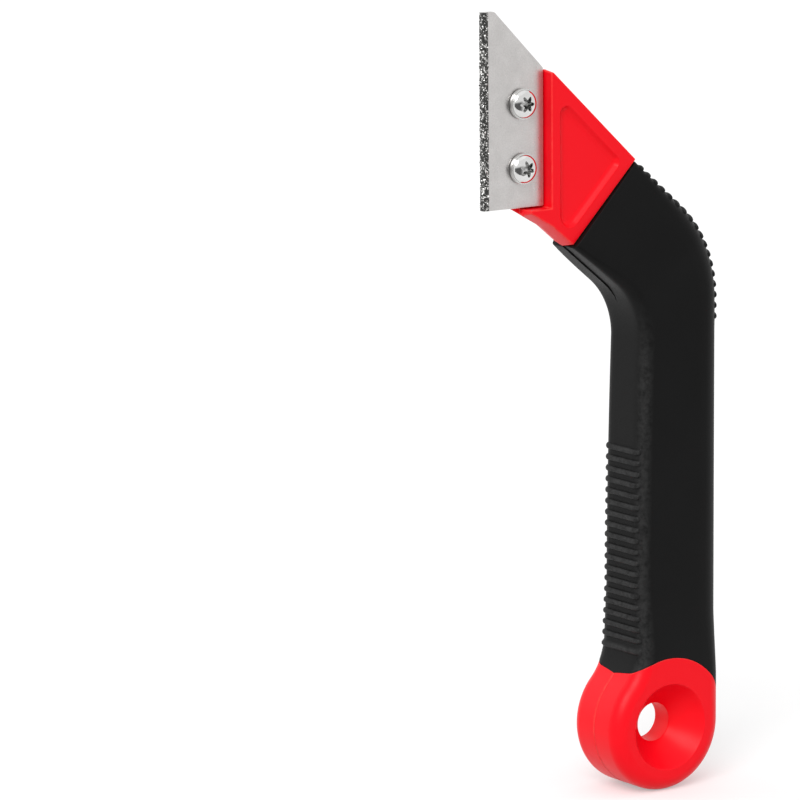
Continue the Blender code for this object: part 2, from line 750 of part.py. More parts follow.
def make_drive_cutter(level, height):
    """A six-lobed socket in the head."""
    steps = 4 * DRIVE_LOBES
    outline = []
    for i in range(steps):
        angle = math.tau * i / steps
        radius = DRIVE_RADIUS + DRIVE_LOBE * math.cos(DRIVE_LOBES * angle)
        outline.append(radius * Vector((math.cos(angle), math.sin(angle))))
    top = SCREW_SEAT_Y - SCREW_HEAD_HEIGHT
    cutter = flat_plate("drive_" + level, outline, DRIVE_DEPTH)
    return place_tool(cutter, (HOLE_X, top, height))


def make_screw(level, height):
    """A pan head screw on its own axis, head to the front."""
    top = SCREW_SEAT_Y - SCREW_HEAD_HEIGHT
    wall = SCREW_SEAT_Y - SCREW_HEAD_WALL
    tip = SCREW_SEAT_Y + SCREW_LENGTH
    crown = SCREW_HEAD_HEIGHT - SCREW_HEAD_WALL
    profile = [(0, top)]
    for k in range(1, CORNER_STEPS + 1):
        angle = math.pi / 2 * k / CORNER_STEPS
        profile.append((SCREW_HEAD_RADIUS * math.sin(angle), wall - crown * math.cos(angle)))
    profile += [
        (SCREW_HEAD_RADIUS, SCREW_SEAT_Y),
        (SCREW_SHANK_RADIUS, SCREW_SEAT_Y),
        (SCREW_SHANK_RADIUS, tip - SCREW_TIP_CHAMFER),
        (SCREW_SHANK_RADIUS - SCREW_TIP_CHAMFER, tip),
        (0, tip),
    ]
    screw = turned("blade_screw_" + level, profile, SMALL_STEPS)
    place(screw, SCREW_CHROME, (HOLE_X, 0, height))
    boolean(screw, make_drive_cutter(level, height))
    return screw


def make_nut(level, height):
    """A hexagon nut with turned-off corners, held in its pocket behind the seat."""
    spot = Vector((0, 0))
    middle = NUT_FLOOR_Y + GAP + NUT_THICKNESS / 2
    half = NUT_THICKNESS / 2
    nut = cylinder("hex_nut_" + level, spot, NUT_CIRCUMRADIUS, half, 6)
    place(nut, NUT_ZINC, (HOLE_X, middle, height))
    wide = NUT_CIRCUMRADIUS + NUT_CHAMFER
    narrow = NUT_ACROSS_FLATS / 2
    drop = NUT_CHAMFER * (wide - narrow) / (NUT_CIRCUMRADIUS - narrow)
    profile = [(0, -half), (narrow, -half), (wide, drop - half), (wide, half - drop), (narrow, half), (0, half)]
    form = place_tool(turned("nut_form_" + level, profile, SMALL_STEPS), (HOLE_X, middle, height))
    boolean(nut, form, "INTERSECT")
    thread = cylinder("nut_thread_" + level, spot, SCREW_SHANK_RADIUS + GAP, NUT_THICKNESS, SMALL_STEPS)
    boolean(nut, place_tool(thread, (HOLE_X, middle, height)))
    return nut


make_core()
make_sleeve()
make_blade()
make_grit()
for name, z in HOLE_HEIGHTS.items():
    make_screw(name, z)
    make_nut(name, z)
print("overall height in mm:", round((BLADE_FOOT + BLADE_LENGTH) / mm, 2))
print("eye ring's axis at world x in mm:", round(-CENTRE_X / mm, 3))
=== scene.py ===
# %% [markdown]
# # Dressing a grout removal tool
#
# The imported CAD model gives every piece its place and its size. This lesson builds the pieces a
# second time, with the fine shapes and finishes that a camera sees: soft edges, ribs, grains of
# carbide, polished screws. All of it is in metres, in the CAD model's own frame: +Z runs up the
# handle, +X points to the back of the hand, and the screw heads face -Y.

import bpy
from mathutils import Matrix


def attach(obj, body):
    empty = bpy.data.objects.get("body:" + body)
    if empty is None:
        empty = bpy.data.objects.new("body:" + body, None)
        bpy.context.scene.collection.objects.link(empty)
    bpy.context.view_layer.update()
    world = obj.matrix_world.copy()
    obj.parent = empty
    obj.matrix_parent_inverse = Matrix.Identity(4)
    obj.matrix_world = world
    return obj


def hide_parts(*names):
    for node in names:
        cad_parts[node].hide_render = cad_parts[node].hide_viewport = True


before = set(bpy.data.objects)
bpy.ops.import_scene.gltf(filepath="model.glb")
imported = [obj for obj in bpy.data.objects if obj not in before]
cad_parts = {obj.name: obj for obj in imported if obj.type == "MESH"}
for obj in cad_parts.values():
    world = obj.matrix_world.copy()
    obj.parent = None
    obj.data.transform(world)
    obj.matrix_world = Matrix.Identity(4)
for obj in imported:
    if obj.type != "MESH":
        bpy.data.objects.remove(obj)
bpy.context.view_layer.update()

# %% [markdown]
# The sizes below repeat the CAD model's own. Plane points are pairs of (x, z), measured from the
# axis of the eye ring, because the side view is where this tool is designed. `AXIS_X` then moves
# them to their place in the frame.

# %% Tools of the trade
import math
import random

import bmesh
import bpy
from mathutils import Vector

mm = 0.001
AXIS_X = 17.5857 * mm
GAP = 0.3 * mm
WELD = 0.002 * mm
SLIVER = 0.01 * mm
SMOOTH_ANGLE = math.radians(35)
GRIP_SMOOTH_ANGLE = math.radians(48)


def in_space(spot, y):
    """A plane point of the side view, at a depth, in the frame."""
    return Vector((spot[0] + AXIS_X, y, spot[1]))


def take(piece):
    """Leaves one piece selected and active, and nothing else."""
    bpy.ops.object.select_all(action="DESELECT")
    piece.select_set(True)
    bpy.context.view_layer.objects.active = piece
    return piece


def edit(piece):
    take(piece)
    bpy.ops.object.mode_set(mode="EDIT")
    return bmesh.from_edit_mesh(piece.data)


def leave():
    bpy.ops.object.mode_set(mode="OBJECT")


def pick(piece, mode, test):
    """Selects the vertices, edges or faces that pass a test, and says how many did."""
    bpy.ops.mesh.select_mode(type=mode)
    bpy.ops.mesh.select_all(action="DESELECT")
    mesh = bmesh.from_edit_mesh(piece.data)
    items = {"VERT": mesh.verts, "EDGE": mesh.edges, "FACE": mesh.faces}[mode]
    chosen = [item for item in items if test(item)]
    for item in chosen:
        item.select_set(True)
    mesh.select_flush_mode()
    bmesh.update_edit_mesh(piece.data)
    return len(chosen)


def newly_made(name):
    """Names the primitive that was just added and puts its place into its mesh."""
    piece = bpy.context.active_object
    piece.name = name
    piece.data.name = name
    bpy.ops.object.transform_apply(location=True, rotation=True, scale=True)
    return piece


def tidy(piece):
    """Merges doubles, then turns every face outwards."""
    edit(piece)
    bpy.ops.mesh.select_all(action="SELECT")
    bpy.ops.mesh.remove_doubles(threshold=WELD)
    bpy.ops.mesh.normals_make_consistent(inside=False)
    leave()
    return piece


def apply_modifier(piece, kind, **settings):
    take(piece)
    modifier = piece.modifiers.new(kind.lower(), kind)
    for name, value in settings.items():
        setattr(modifier, name, value)
    bpy.ops.object.modifier_apply(modifier=modifier.name)
    return piece


def combine(piece, tool, operation):
    """A boolean, after which the tool is thrown away."""
    apply_modifier(piece, "BOOLEAN", object=tool, operation=operation, solver="EXACT")
    bpy.data.objects.remove(tool, do_unlink=True)
    return piece


def two_slots(piece, start=0):
    """Two empty slots. Faces in the second one are marked: they turn into an attribute later."""
    while len(piece.data.materials) < 2:
        piece.data.materials.append(None)
    piece.data.polygons.foreach_set("material_index", [start] * len(piece.data.polygons))
    return piece


def soft_edges(piece, width, steps=3, angle=math.radians(30)):
    """Rounds every edge that is sharper than an angle, and marks the new faces."""
    edit(two_slots(piece))
    bpy.ops.mesh.select_all(action="SELECT")
    bpy.ops.mesh.dissolve_degenerate(threshold=SLIVER)
    leave()
    return apply_modifier(
        piece, "BEVEL", width=width, segments=steps, limit_method="ANGLE", angle_limit=angle,
        use_clamp_overlap=False, material=1,
    )


def smooth(piece):
    """Smooth shading that keeps flats flat and hard edges hard."""
    take(piece)
    bpy.ops.object.shade_smooth_by_angle(angle=SMOOTH_ANGLE)
    return apply_modifier(piece, "WEIGHTED_NORMAL", keep_sharp=True, weight=100)


def count(piece):
    piece.data.calc_loop_triangles()
    print(f"{piece.name}: {len(piece.data.loop_triangles)} triangles")
    return piece


# %% [markdown]
# A moulding or a plate starts as a flat outline. A circle primitive has a ring of corners and one
# face, so it is a handy start: each corner is moved to its own spot, and the face is then extruded.

# %% Outlines that are extruded
def outline_face(name, spots, y):
    """A circle primitive whose corners are moved to an outline's spots."""
    bpy.ops.object.select_all(action="DESELECT")
    bpy.ops.mesh.primitive_circle_add(
        vertices=len(spots), radius=10 * mm, fill_type="NGON", location=in_space(spots[0], y),
        rotation=(math.pi / 2, 0, 0),
    )
    piece = newly_made(name)
    mesh = edit(piece)
    mesh.faces.ensure_lookup_table()
    for corner, spot in zip(list(mesh.faces[0].verts), spots):
        corner.co = in_space(spot, y)
    bmesh.update_edit_mesh(piece.data)
    return piece


def solid(name, layers):
    """A closed block through outlines of equal count, given as (depth, spots)."""
    (y, spots), *others = layers
    piece = outline_face(name, spots, y)
    for next_y, next_spots in others:
        bpy.ops.mesh.extrude_region_move(TRANSFORM_OT_translate={"value": (0, next_y - y, 0)})
        mesh = bmesh.from_edit_mesh(piece.data)
        raised = [corner for corner in mesh.verts if corner.select]
        moves = []
        for old, new in zip(spots, next_spots):
            place = in_space(old, next_y)
            moves.append((min(raised, key=lambda v: (v.co - place).length), in_space(new, next_y)))
        for corner, place in moves:
            corner.co = place
        bmesh.update_edit_mesh(piece.data)
        y, spots = next_y, next_spots
    leave()
    return tidy(piece)


def block(name, low, high):
    """A plain box between two corners of the frame: a mill's path rather than a piece."""
    bpy.ops.object.select_all(action="DESELECT")
    middle = [(a + b) / 2 for a, b in zip(low, high)]
    bpy.ops.mesh.primitive_cube_add(size=1, location=middle, scale=[b - a for a, b in zip(low, high)])
    return newly_made(name)


def drum(name, spot, radius, low_y, high_y, steps):
    """A round bar along Y through a plane point."""
    bpy.ops.object.select_all(action="DESELECT")
    bpy.ops.mesh.primitive_cylinder_add(
        vertices=steps, radius=radius, depth=high_y - low_y,
        location=in_space(spot, (low_y + high_y) / 2), rotation=(math.pi / 2, 0, 0),
    )
    return newly_made(name)


def arc(centre, radius, start, end, steps):
    angles = [start + (end - start) * i / steps for i in range(steps + 1)]
    return [(centre[0] + radius * math.cos(a), centre[1] + radius * math.sin(a)) for a in angles]


def round_corner(before, corner, after, radius, steps):
    """An arc in a corner's place, which touches both of its sides."""
    heading = math.atan2(corner[1] - before[1], corner[0] - before[0])
    onward = math.atan2(after[1] - corner[1], after[0] - corner[0])
    turn = math.remainder(onward - heading, math.tau)
    side = math.copysign(math.pi / 2, turn)
    back = radius * math.tan(abs(turn) / 2)
    centre = (
        corner[0] - back * math.cos(heading) + radius * math.cos(heading + side),
        corner[1] - back * math.sin(heading) + radius * math.sin(heading + side),
    )
    return arc(centre, radius, heading - side, heading - side + turn, steps)


def crossing(point_a, along_a, point_b, along_b):
    """Where two lines of the plane cross."""
    away = (point_b[0] - point_a[0], point_b[1] - point_a[1])
    share = (away[0] * along_b[1] - away[1] * along_b[0]) / (
        along_a[0] * along_b[1] - along_a[1] * along_b[0]
    )
    return (point_a[0] + along_a[0] * share, point_a[1] + along_a[1] * share)


def inset(spots, distances):
    """Moves each side of an anticlockwise outline inwards by its own distance."""
    sides = []
    for i, spot in enumerate(spots):
        ahead = spots[(i + 1) % len(spots)]
        x, z = ahead[0] - spot[0], ahead[1] - spot[1]
        length = math.hypot(x, z)
        along = (x / length, z / length)
        away = (spot[0] - along[1] * distances[i], spot[1] + along[0] * distances[i])
        sides.append((away, along))
    return [crossing(*sides[i - 1], *sides[i]) for i in range(len(sides))]


# %% [markdown]
# The camera stands to the finger side of the tool, a little above its middle, far back with a long
# lens, so that the blade's flat and both faces of the grip show. Its place was found by matching
# edges of the picture to edges of the CAD model, and it needs no lens shift.

# %% The camera
CAMERA_PLACE = (-0.764353, -1.01349, 0.337849)
CAMERA_TURN = (79.66678, 0.49448, -34.83411)
CAMERA_LENS = 222.031

bpy.ops.object.camera_add(location=CAMERA_PLACE, rotation=[math.radians(a) for a in CAMERA_TURN])
camera = bpy.context.active_object
camera.name = "picture_camera"
camera.data.sensor_width = 36
camera.data.lens = CAMERA_LENS
camera.data.clip_end = 20
bpy.context.scene.camera = camera
bpy.context.scene.view_settings.view_transform = "Standard"
print("camera is", round(math.dist(CAMERA_PLACE, (0, 0, 0.1)), 2), "m from the tool")

# %% [markdown]
# The grip's side view is two rails: the finger side and the back of the hand. Each comes down a
# slope, round a bend and along an upright, and ends in the flare above the eye ring. One number
# runs down both: 0 to 1 is the slope, 1 to 2 the bend, 2 to 3 the upright, 3 to 4 the flare and
# 4 to 5 the last piece inside the ring.

# %% The grip's two rails
RING_RADIUS = 17.6 * mm
RING_THICKNESS = 20.6 * mm
RING_EDGE_RADIUS = 4.2 * mm
RING_CENTRE = (0, RING_RADIUS)
SHOULDER_RADIUS = 18.5 * mm
BACK_X = RING_RADIUS
FINGER_X = BACK_X - 24.5 * mm
FLARE_X = FINGER_X - 1.7 * mm
FLARE_RADIUS = 15.0 * mm
FLARE_CENTRE = (
    FLARE_X - FLARE_RADIUS,
    RING_CENTRE[1] + math.sqrt((RING_RADIUS + FLARE_RADIUS) ** 2 - (FLARE_X - FLARE_RADIUS) ** 2),
)
FLARE_TOUCH = math.atan2(RING_CENTRE[1] - FLARE_CENTRE[1], RING_CENTRE[0] - FLARE_CENTRE[0])


class Rail:
    """One edge of the grip in side view."""

    def __init__(self, x, height, slope, length, radius, foot_x):
        self.slope, self.length, self.radius = slope, length, radius
        self.corner = (x, height)
        self.reach = radius * math.tan((math.pi / 2 - slope) / 2)
        self.direction = (-math.cos(slope), math.sin(slope))
        self.top = self.on_slope(length)
        self.end = (x, height - self.reach)
        self.foot = (foot_x, FLARE_CENTRE[1])

    def on_slope(self, distance):
        return (
            self.corner[0] + self.direction[0] * distance,
            self.corner[1] + self.direction[1] * distance,
        )

    def at(self, run):
        """The rail's point at a number from 0 to 3."""
        if run <= 1:
            return self.on_slope(self.length + (self.reach - self.length) * run)
        if run <= 2:
            angle = (math.pi / 2 - self.slope) * (2 - run)
            middle = (self.end[0] - self.radius, self.end[1])
            return (
                middle[0] + self.radius * math.cos(angle), middle[1] + self.radius * math.sin(angle)
            )
        share = run - 2
        lean = 1 - (1 - share) ** 2
        return (
            self.end[0] + (self.foot[0] - self.end[0]) * lean,
            self.end[1] + (self.foot[1] - self.end[1]) * share,
        )


FINGER_RAIL = Rail(FINGER_X, 130.9 * mm, math.radians(39.4), 26.5 * mm, 20 * mm, FLARE_X)
BACK_RAIL = Rail(BACK_X, 145.9 * mm, math.radians(42.9), 33.4 * mm, 34 * mm, BACK_X)
SEAM_FINGER = FINGER_RAIL.top
SEAM_BACK = BACK_RAIL.top
SEAM_LENGTH = math.dist(SEAM_FINGER, SEAM_BACK)
SEAM_ALONG = (
    (SEAM_BACK[0] - SEAM_FINGER[0]) / SEAM_LENGTH, (SEAM_BACK[1] - SEAM_FINGER[1]) / SEAM_LENGTH
)
SEAM_NORMAL = (SEAM_ALONG[1], -SEAM_ALONG[0])


def rail_points(run):
    """The finger and the back point at one number of the run."""
    if run <= 3:
        return FINGER_RAIL.at(run), BACK_RAIL.at(run)
    touch = arc(FLARE_CENTRE, FLARE_RADIUS, 0, FLARE_TOUCH, 1)[1]
    if run <= 4:
        finger = arc(FLARE_CENTRE, FLARE_RADIUS, 0, FLARE_TOUCH * (run - 3), 1)[1]
        return finger, (BACK_X, FLARE_CENTRE[1] + (touch[1] - FLARE_CENTRE[1]) * (run - 3))
    share = run - 4
    last = (-RING_RADIUS, RING_CENTRE[1])
    finger = (touch[0] + (last[0] - touch[0]) * share, touch[1] + (last[1] - touch[1]) * share)
    return finger, (BACK_X, touch[1] + (last[1] - touch[1]) * share)


print("seam from", SEAM_FINGER, "to", SEAM_BACK)

# %% [markdown]
# Across the handle the grip is a rounded wedge. It is thinnest along the seam, grows over the first
# 27 mm, is thinner under the fingers than along the back, and meets the ring's thickness at last.

# %% The grip's sections
GROWTH_LENGTH = 27 * mm
CORNER_TURNS = [math.radians(turn) for turn in (
    0, 10, 18, 23, 27, 30, 32.5, 34.5, 36, 37.5, 39, 41, 42.5, 44, 48, 55, 64, 77, 90
)]
SIDE_SHARES = (0.14, 0.28, 0.43, 0.57, 0.72, 0.86)
FINGER_SHARES = (0.7, 0.4, 0.15)
GROOVE_PLACES = [place * mm for place in (0.17, 0.1, 0, -0.1, -0.17)]
BACK_SHARES = (-0.6, 0, 0.6)
SPINE_CORNER = 0.6 * mm


def grow(start, full, end, grown, meet):
    size = start + (full - start) * grown
    return size + (end - size) * meet


def way_down(height, top, low):
    """How far down a height lies between two others, from 0 to 1."""
    return min(1, max(0, (top - height) / (top - low)))


def section_sizes(run):
    """Half thicknesses and corner radii on the finger side and along the back."""
    finger, back = rail_points(run)
    middle = ((finger[0] + back[0]) / 2, (finger[1] + back[1]) / 2)
    start = ((SEAM_FINGER[0] + SEAM_BACK[0]) / 2, (SEAM_FINGER[1] + SEAM_BACK[1]) / 2)
    away = (middle[0] - start[0]) * SEAM_NORMAL[0] + (middle[1] - start[1]) * SEAM_NORMAL[1]
    rise = min(1, max(0, away) / GROWTH_LENGTH)
    early = rise * (2 - rise)
    grown = rise * rise * (3 - 2 * rise)
    height = min(finger[1], back[1])
    meet = way_down(height, FLARE_CENTRE[1] + FLARE_RADIUS, SHOULDER_RADIUS + RING_CENTRE[1])
    late = way_down(height, 46 * mm, 30 * mm)
    thin = grow(10.8 * mm, 17.2 * mm, RING_THICKNESS, early, meet) / 2
    thick = grow(9.4 * mm, RING_THICKNESS, RING_THICKNESS, grown, meet) / 2
    finger_radius = grow(1.4 * mm, 3.5 * mm, RING_EDGE_RADIUS, grown, meet)
    back_radius = grow(1.4 * mm, 6.0 * mm, RING_EDGE_RADIUS, grown, late)
    return finger, back, thin, thick, finger_radius, back_radius


def section_points(run, inwards=0):
    """Ring of (part, reach from the middle plane, place, outward direction) round one section."""
    finger, back, thin, thick, finger_radius, back_radius = section_sizes(run)
    width = math.dist(finger, back)
    along = Vector(((back[0] - finger[0]) / width, 0, (back[1] - finger[1]) / width))
    across = Vector((0, 1, 0))
    front = max(finger_radius, inwards + SPINE_CORNER)
    rear = max(back_radius, inwards + SPINE_CORNER)

    def flat(part, distance, out, depths):
        start = in_space(finger, 0) + along * distance
        return [(part, abs(y), start + across * y, out) for y in depths]

    def corner(part, distance, depth, radius, flat_angle, sense):
        spots = []
        middle = in_space(finger, 0) + along * distance + across * depth
        for turn in CORNER_TURNS[::sense]:
            angle = flat_angle + sense * turn
            out = along * math.cos(angle) + across * math.sin(angle)
            spots.append((part, abs(depth) + radius * turn, middle + out * (radius - inwards), out))
        return spots

    def side(start, end):
        return [("side", 0, start[2].lerp(end[2], share), end[3]) for share in SIDE_SHARES]

    far_back = corner("back", width - rear, thick - rear, rear, 0, 1)
    far_finger = corner("finger", front, thin - front, front, math.pi, -1)
    near_finger = corner("finger", front, front - thin, front, math.pi, 1)
    near_back = corner("back", width - rear, rear - thick, rear, math.tau, -1)
    outer = [share * (thin - front) for share in FINGER_SHARES]
    depths = outer + GROOVE_PLACES + [-y for y in reversed(outer)]
    return (
        far_back + side(far_back[-1], far_finger[0]) + far_finger
        + flat("finger", inwards, -along, depths)
        + near_finger + side(near_finger[-1], near_back[0]) + near_back
        + flat("back", width - inwards, along, [share * (thick - rear) for share in BACK_SHARES])
    )


# %% [markdown]
# The soft grip is one skin whose section changes all the way down, with ribs that stand on it. A
# lofted mesh suits that best, so its rings are computed and skinned: rings are few on plain
# stretches, and each rib gets eleven, which follow a round bead with a crisp foot. Beads on the
# finger side lie at even heights, and beads along the back at even steps from the seam.

# %% Where the ribs and rings lie
RIB_RADII = {"finger": 0.8 * mm, "back": 0.62 * mm}
RIB_HEIGHTS = {"finger": 0.68 * mm, "back": 0.6 * mm}
RIB_ENDS = {"finger": math.radians(23), "back": math.radians(37)}
RIB_FULLNESS = 2.6
FINGER_RIB_HEIGHTS = [(92.0 - 2.97 * i) * mm for i in range(19)]
BACK_RIB_STEPS = [(2.9 + 2.85 * i) * mm for i in range(18)]
RIB_OFFSETS = (-1.02, -0.995, -0.95, -0.83, -0.6, -0.3, 0, 0.3, 0.6, 0.83, 0.95, 0.995, 1.02)
LIP_RADIUS = 0.25 * mm
LIP_STEPS = (0, 0.12, 0.35, 0.65, 1)
PLAIN_STEPS = {0: 10, 1: 26, 2: 22, 3: 18, 4: 3}


def run_of_back_step(distance):
    """The run number of a place along the back, measured down from the seam."""
    slope = BACK_RAIL.length - BACK_RAIL.reach
    bend = BACK_RAIL.radius * (math.pi / 2 - BACK_RAIL.slope)
    if distance <= slope:
        return distance / slope
    if distance <= slope + bend:
        return 1 + (distance - slope) / bend
    upright = BACK_RAIL.end[1] - BACK_RAIL.foot[1]
    return 2 + (distance - slope - bend) / upright


def run_of_finger_height(height):
    return 2 + (FINGER_RAIL.end[1] - height) / (FINGER_RAIL.end[1] - FINGER_RAIL.foot[1])


def plain_runs():
    runs = [start + i / steps for start, steps in PLAIN_STEPS.items() for i in range(steps)]
    return runs + [5.0]


def grip_runs():
    runs = plain_runs()
    runs += [run_of_back_step(GAP / 2 + LIP_RADIUS * share) for share in LIP_STEPS]
    for offset in RIB_OFFSETS:
        up, along = offset * RIB_RADII["finger"], offset * RIB_RADII["back"]
        runs += [run_of_finger_height(height + up) for height in FINGER_RIB_HEIGHTS]
        runs += [run_of_back_step(step + along) for step in BACK_RIB_STEPS]
    start = run_of_back_step(GAP / 2)
    kept = []
    for run in sorted(runs):
        if run >= start and (not kept or run - kept[-1] > 0.0002):
            kept.append(run)
    return kept


print("rings down the grip:", len(grip_runs()))


# %% [markdown]
# A bead's height over the skin is that of a round bar with round ends, a little fuller. The
# parting line of the mould runs down the finger side of the slope: the near half leans in towards
# it, the far half stands a touch higher, and a fine groove lies between the halves.

# %% The height of the skin
def back_distance(back, run):
    if run <= 1:
        return math.dist(back, SEAM_BACK)
    slope = BACK_RAIL.length - BACK_RAIL.reach
    if run <= 2:
        return slope + BACK_RAIL.radius * (math.pi / 2 - BACK_RAIL.slope) * (run - 1)
    return slope + BACK_RAIL.radius * (math.pi / 2 - BACK_RAIL.slope) + BACK_RAIL.end[1] - back[1]


def bead(away, beyond, part):
    distance = math.hypot(away, max(0, beyond)) / RIB_RADII[part]
    return RIB_HEIGHTS[part] * math.sqrt(max(0, 1 - distance ** RIB_FULLNESS))


def rib_height(part, girth, run, finger, back, sizes):
    """How far the skin stands proud at one place."""
    thin, thick, finger_radius, back_radius = sizes
    if part == "finger":
        away = min(abs(finger[1] - h) for h in FINGER_RIB_HEIGHTS)
        half, radius = thin, finger_radius
    elif part == "back" and run < 3:
        along = back_distance(back, run)
        away = min(abs(along - s) for s in BACK_RIB_STEPS)
        half, radius = thick, back_radius
    else:
        return 0
    return bead(away, girth - (half - radius + radius * RIB_ENDS[part]), part)


PARTING_DEPTH = 0.45 * mm
PARTING_HALF = 0.11 * mm
NEAR_DROP, FAR_RISE = 0.25 * mm, 0.1 * mm
PARTING_END_RUN = 1.4


def parting_drop(y, part, run, flat):
    """The groove between the mould's halves, down to the bend, and the step over it."""
    if part != "finger" or run > PARTING_END_RUN:
        return 0
    fade = min(1, (PARTING_END_RUN - run) / 0.3)
    if abs(y) < PARTING_HALF:
        return PARTING_DEPTH * fade
    lean = max(0, 1 - abs(y) / flat)
    return fade * lean * (NEAR_DROP if y < 0 else -FAR_RISE)


# %% The soft grip
def grip_ring(run, inwards, ribbed):
    """The places round one ring. Each one's painted highlight, from its rib's height or the finger corner, is kept
    in a list.
    """
    finger, back, *sizes = section_sizes(run)
    ring = []
    for part, girth, place, out in section_points(run, inwards):
        if ribbed:
            height = rib_height(part, girth, run, finger, back, sizes)
            drop = parting_drop(place.y, part, run, sizes[0] - sizes[2])
            place = place + out * (height - drop)
            # Painted highlight: rib crests and the rounded finger corner are marked to be painted lighter.
            turn = max(0, (girth - sizes[0] + sizes[2]) / sizes[2]) if part == "finger" else 0
            corner_highlight = CORNER_PAINTED_HIGHLIGHT * math.sin(2 * turn) * way_down(place.z, *CORNER_HIGHLIGHT_REACH)
            painted_highlight_marks.append(max(height / RIB_HEIGHTS["finger"], corner_highlight))
        ring.append(place)
    return ring


def skin(name, rings, closed=False):
    """Faces between neighbouring rings of equal count, and round to the first where it is closed."""
    size = len(rings[0])
    points = [point for ring in rings for point in ring]
    faces = []
    pairs = len(rings) if closed else len(rings) - 1
    for i in range(pairs):
        low, high = i * size, (i + 1) % len(rings) * size
        for k in range(size):
            j = (k + 1) % size
            faces.append((low + k, low + j, high + j, high + k))
    if not closed:
        faces += [tuple(range(size)), tuple(range((len(rings) - 1) * size, len(rings) * size))]
    mesh = bpy.data.meshes.new(name)
    mesh.from_pydata(points, [], faces)
    piece = bpy.data.objects.new(name, mesh)
    bpy.context.scene.collection.objects.link(piece)
    return piece


def lip_inset(run, start):
    """The skin curls in by a small radius at the seam."""
    distance = back_distance(rail_points(run)[1], run) - GAP / 2
    share = min(1, max(0, distance / LIP_RADIUS))
    return LIP_RADIUS * (1 - math.sqrt(1 - (1 - share) ** 2))


WALL = 2.4 * mm - GAP
# The finger corner's painted highlight: its strength, and the heights over which it fades.
CORNER_PAINTED_HIGHLIGHT = 0.8
CORNER_HIGHLIGHT_REACH = (134 * mm, 112 * mm)
painted_highlight_marks = []
runs = grip_runs()
outer_rings = [grip_ring(run, lip_inset(run, runs[0]), True) for run in runs]
inner_runs = [run for run in plain_runs() if run > runs[0] + 0.001]
inner_rings = [grip_ring(run, WALL, False) for run in [runs[0]] + inner_runs]
soft_grip = skin("soft_grip_skin", outer_rings + inner_rings[::-1], closed=True)
painted_highlight_marks += [0.0] * (len(soft_grip.data.vertices) - len(painted_highlight_marks))
soft_grip.data.attributes.new("wear_and_painted_light_mask", "FLOAT", "POINT").data.foreach_set("value", painted_highlight_marks)
tidy(soft_grip)

# %% [markdown]
# The grip's foot fits over the round shoulder of the eye ring. On the finger side its edge dips in
# a shallow V at the middle plane. So the drum that trims the foot is drawn in a little there, and
# the same drum, a hair smaller, later trims the red shoulder.

# %% The grip's foot
VISIBLE_GAP = 0.06 * mm
SEAM_RADIUS = SHOULDER_RADIUS + GAP / 2
DIP = 0.57 * mm
DIP_HALF = 8.6 * mm
DIP_START, DIP_FULL = math.radians(100), math.radians(112)
SHOULDER_STEPS = 180
DRUM_CUTS = [share * DIP_HALF for share in (-1, -0.75, -0.5, -0.25, 0, 0.25, 0.5, 0.75, 1)]


def shoulder_drum(name, radius):
    """A drum round the eye's axis, drawn in by a shallow V on the finger side."""
    piece = drum(name, RING_CENTRE, radius, -RING_THICKNESS, RING_THICKNESS, SHOULDER_STEPS)
    edit(piece)
    for y in DRUM_CUTS:
        bpy.ops.mesh.select_all(action="SELECT")
        bpy.ops.mesh.bisect(plane_co=(0, y, 0), plane_no=(0, 1, 0))
    leave()
    middle = in_space(RING_CENTRE, 0)
    for corner in piece.data.vertices:
        away = corner.co - middle
        angle = math.atan2(away.z, away.x)
        share = min(1, max(0, (angle - DIP_START) / (DIP_FULL - DIP_START)))
        drop = DIP * share * max(0, 1 - abs(corner.co.y) / DIP_HALF)
        flat = Vector((away.x, 0, away.z))
        corner.co -= flat.normalized() * drop
    return piece


combine(soft_grip, shoulder_drum("foot_cutter", SEAM_RADIUS + VISIBLE_GAP / 2), "DIFFERENCE")
take(soft_grip)
bpy.ops.object.shade_smooth_by_angle(angle=GRIP_SMOOTH_ANGLE)
count(soft_grip)

# %% [markdown]
# The head is a flat block that the blade lies against. Mould draft makes it widest at its middle
# plane, so it is extruded in two steps, through a slightly larger outline. A mill's cutters then
# make the blade's seat and the end of its ledge, and a saw cuts it off along the seam.

# %% The head
HEAD_THICKNESS = 8.0 * mm
HEAD_SEAM_TOP = (-6.527 * mm, 169.002 * mm)
HEAD_SEAM_FOOT = (-26.838 * mm, 148.377 * mm)
HEAD_TOP = (-32.971 * mm, 193.576 * mm)
CHIN = (-33.483 * mm, 153.836 * mm)
CHIN_SLOPE = math.radians(29.4)
WALL_X = HEAD_TOP[0] - 0.7 * mm
SEAT_LEFT_X = WALL_X - 12.7 * mm
SEAT_Y = -HEAD_THICKNESS / 2 + 5.0 * mm
LEDGE_HEIGHT = HEAD_TOP[1] - 35.1 * mm
LEDGE_LEFT_X = WALL_X - 6.7 * mm
HEAD_DRAFT = 0.5 * mm
CHIN_DRAFT = 0.9 * mm
SOFT_EDGE = 0.3 * mm
CLEAR = 4 * mm


def beyond_seam(spot, direction):
    return (spot[0] - direction[0] * CLEAR, spot[1] - direction[1] * CLEAR)


